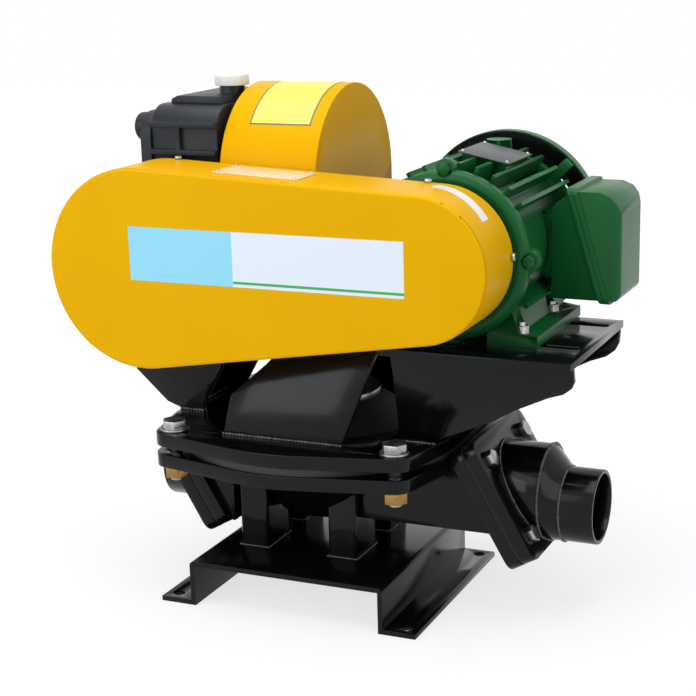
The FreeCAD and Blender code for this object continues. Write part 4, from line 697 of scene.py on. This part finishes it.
def sheet_piece(name, rows, finish, thickness):
    """Closed thin sheet from a grid of (point, outward direction) pairs, in millimetres."""
    work = bmesh.new()
    grids = []
    for lift in (FILM_GAP, thickness):
        grids.append([[work.verts.new(tuple(0.001 * (c + lift * d) for c, d in zip(point, out)))
                       for point, out in row] for row in rows])
    low, high = grids
    wide, tall = len(rows[0]), len(rows)
    for j in range(tall - 1):
        for i in range(wide - 1):
            work.faces.new((high[j][i], high[j][i + 1], high[j + 1][i + 1], high[j + 1][i]))
            work.faces.new((low[j][i], low[j + 1][i], low[j + 1][i + 1], low[j][i + 1]))
    rim = [(j, 0) for j in range(tall)] + [(tall - 1, i) for i in range(1, wide)]
    rim += [(j, wide - 1) for j in range(tall - 2, -1, -1)] + [(0, i) for i in range(wide - 2, -1, -1)]
    for (j0, i0), (j1, i1) in zip(rim, rim[1:]):
        work.faces.new((low[j0][i0], low[j1][i1], high[j1][i1], high[j0][i0]))
    bmesh.ops.recalc_face_normals(work, faces=work.faces)
    mesh = bpy.data.meshes.new(name)
    work.to_mesh(mesh)
    work.free()
    mesh.materials.append(finish)
    piece = bpy.data.objects.new(name, mesh)
    scene.collection.objects.link(piece)
    for face in mesh.polygons:
        face.use_smooth = True
    mesh.set_sharp_from_angle(angle=FILM_CORNER)
    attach(piece, "frame")
    return piece


GUARD_FACE_Y = -176.7
PANEL_X, PANEL_Z = (-157.7, 179.0), (411.1, 472.9)
PANEL_FILM = 0.25
forward = (0.0, -1.0, 0.0)
sheet_piece("guard_panel", [[((x, GUARD_FACE_Y, z), forward) for x in PANEL_X] for z in PANEL_Z],
            vinyl("panel_vinyl", panel_colour), PANEL_FILM)

HOOD_Y, HOOD_Z, HOOD_R = 24.3, 507.0, 111.0
EDGE_FILM, LIME_FILM = 0.2, 0.35


def hood_patch(left, right, from_angle, to_angle, steps=24):
    """Rows over the hood's round top, from one angle above the horizontal to another."""
    rows = []
    for k in range(steps + 1):
        a = math.radians(from_angle + (to_angle - from_angle) * k / steps)
        out = (0.0, math.cos(a), math.sin(a))
        rows.append([((x, HOOD_Y + HOOD_R * out[1], HOOD_Z + HOOD_R * out[2]), out) for x in (left, right)])
    return rows


sheet_piece("hood_label_edge", hood_patch(left=-58.0, right=20.0, from_angle=141.0, to_angle=84.0),
            vinyl("label_edge", dark_edge), EDGE_FILM)
sheet_piece("hood_label", hood_patch(left=-56.0, right=18.0, from_angle=140.0, to_angle=85.0),
            vinyl("label_lime", lime_colour), LIME_FILM)

RIM_X, RIM_Z, RIM_R = 189.8, 440.9, 81.3


def rim_patch(from_angle, to_angle, from_y, to_y, width, steps=24):
    """Rows round the guard's right end, drifting across it from one side to the other."""
    rows = []
    for k in range(steps + 1):
        share = k / steps
        a = math.radians(from_angle + (to_angle - from_angle) * share)
        out = (math.cos(a), 0.0, math.sin(a))
        middle = from_y + (to_y - from_y) * share
        rows.append([((RIM_X + RIM_R * out[0], y, RIM_Z + RIM_R * out[2]), out)
                     for y in (middle - width / 2, middle + width / 2)])
    return rows


sheet_piece("rim_strip", rim_patch(from_angle=91.0, to_angle=38.0, from_y=-110.0, to_y=-130.0, width=18.0),
            vinyl("strip_vinyl", plain_white), PANEL_FILM)


# Rivets of the two metal plates.
# Small plated domes, one at each corner, driven into the sheet under the plate.
def rivet_tree(finish):
    """A dome on every point."""
    group = bpy.data.node_groups.new("plate_rivets", "GeometryNodeTree")
    group.interface.new_socket("Geometry", in_out="INPUT", socket_type="NodeSocketGeometry")
    group.interface.new_socket("Radius", in_out="INPUT", socket_type="NodeSocketFloat").default_value = 0.002
    group.interface.new_socket("Geometry", in_out="OUTPUT", socket_type="NodeSocketGeometry")
    new, link = group.nodes.new, group.links.new
    start, end = new("NodeGroupInput"), new("NodeGroupOutput")
    dome = new("GeometryNodeMeshUVSphere")
    dome.inputs["Segments"].default_value = 16
    dome.inputs["Rings"].default_value = 8
    place, real = new("GeometryNodeInstanceOnPoints"), new("GeometryNodeRealizeInstances")
    smooth, paint = new("GeometryNodeSetShadeSmooth"), new("GeometryNodeSetMaterial")
    paint.inputs["Material"].default_value = finish
    for source, target in ((start.outputs["Geometry"], place.inputs["Points"]),
                           (start.outputs["Radius"], dome.inputs["Radius"]),
                           (dome.outputs["Mesh"], place.inputs["Instance"]),
                           (place.outputs[0], real.inputs[0]), (real.outputs[0], smooth.inputs[0]),
                           (smooth.outputs[0], paint.inputs[0]), (paint.outputs[0], end.inputs[0])):
        link(source, target)
    return group


rivet = rivet_tree(zinc)
GUARD_TOP_SLOPE = math.tan(math.radians(-2.75))
GUARD_PLATE_X, GUARD_PLATE_Z = -58.0, 535.3
MOTOR_X, MOTOR_Z = 185.0, 437.0
MOTOR_PLATE_OUT = 105.6
MOTOR_PLATE_LEAN = math.radians(12.0)
lean_cos, lean_sin = math.cos(MOTOR_PLATE_LEAN), math.sin(MOTOR_PLATE_LEAN)
rivet_points = []
for x in (-53.0, 42.0):
    for y in (-152.0, -108.0):
        rivet_points.append((0.001 * x, 0.001 * y,
                             0.001 * (GUARD_PLATE_Z + (x - GUARD_PLATE_X) * GUARD_TOP_SLOPE)))
for along in (-27.0, 27.0):
    for y in (0.0, 74.0):
        rivet_points.append((0.001 * (MOTOR_X + along * lean_cos + MOTOR_PLATE_OUT * lean_sin), 0.001 * y,
                             0.001 * (MOTOR_Z + MOTOR_PLATE_OUT * lean_cos - along * lean_sin)))
spots = bpy.data.meshes.new("rivet_spots")
spots.from_pydata(rivet_points, [], [])
rivets = grown("plate_rivets", spots, rivet, {"Radius": 0.0021}, "frame")
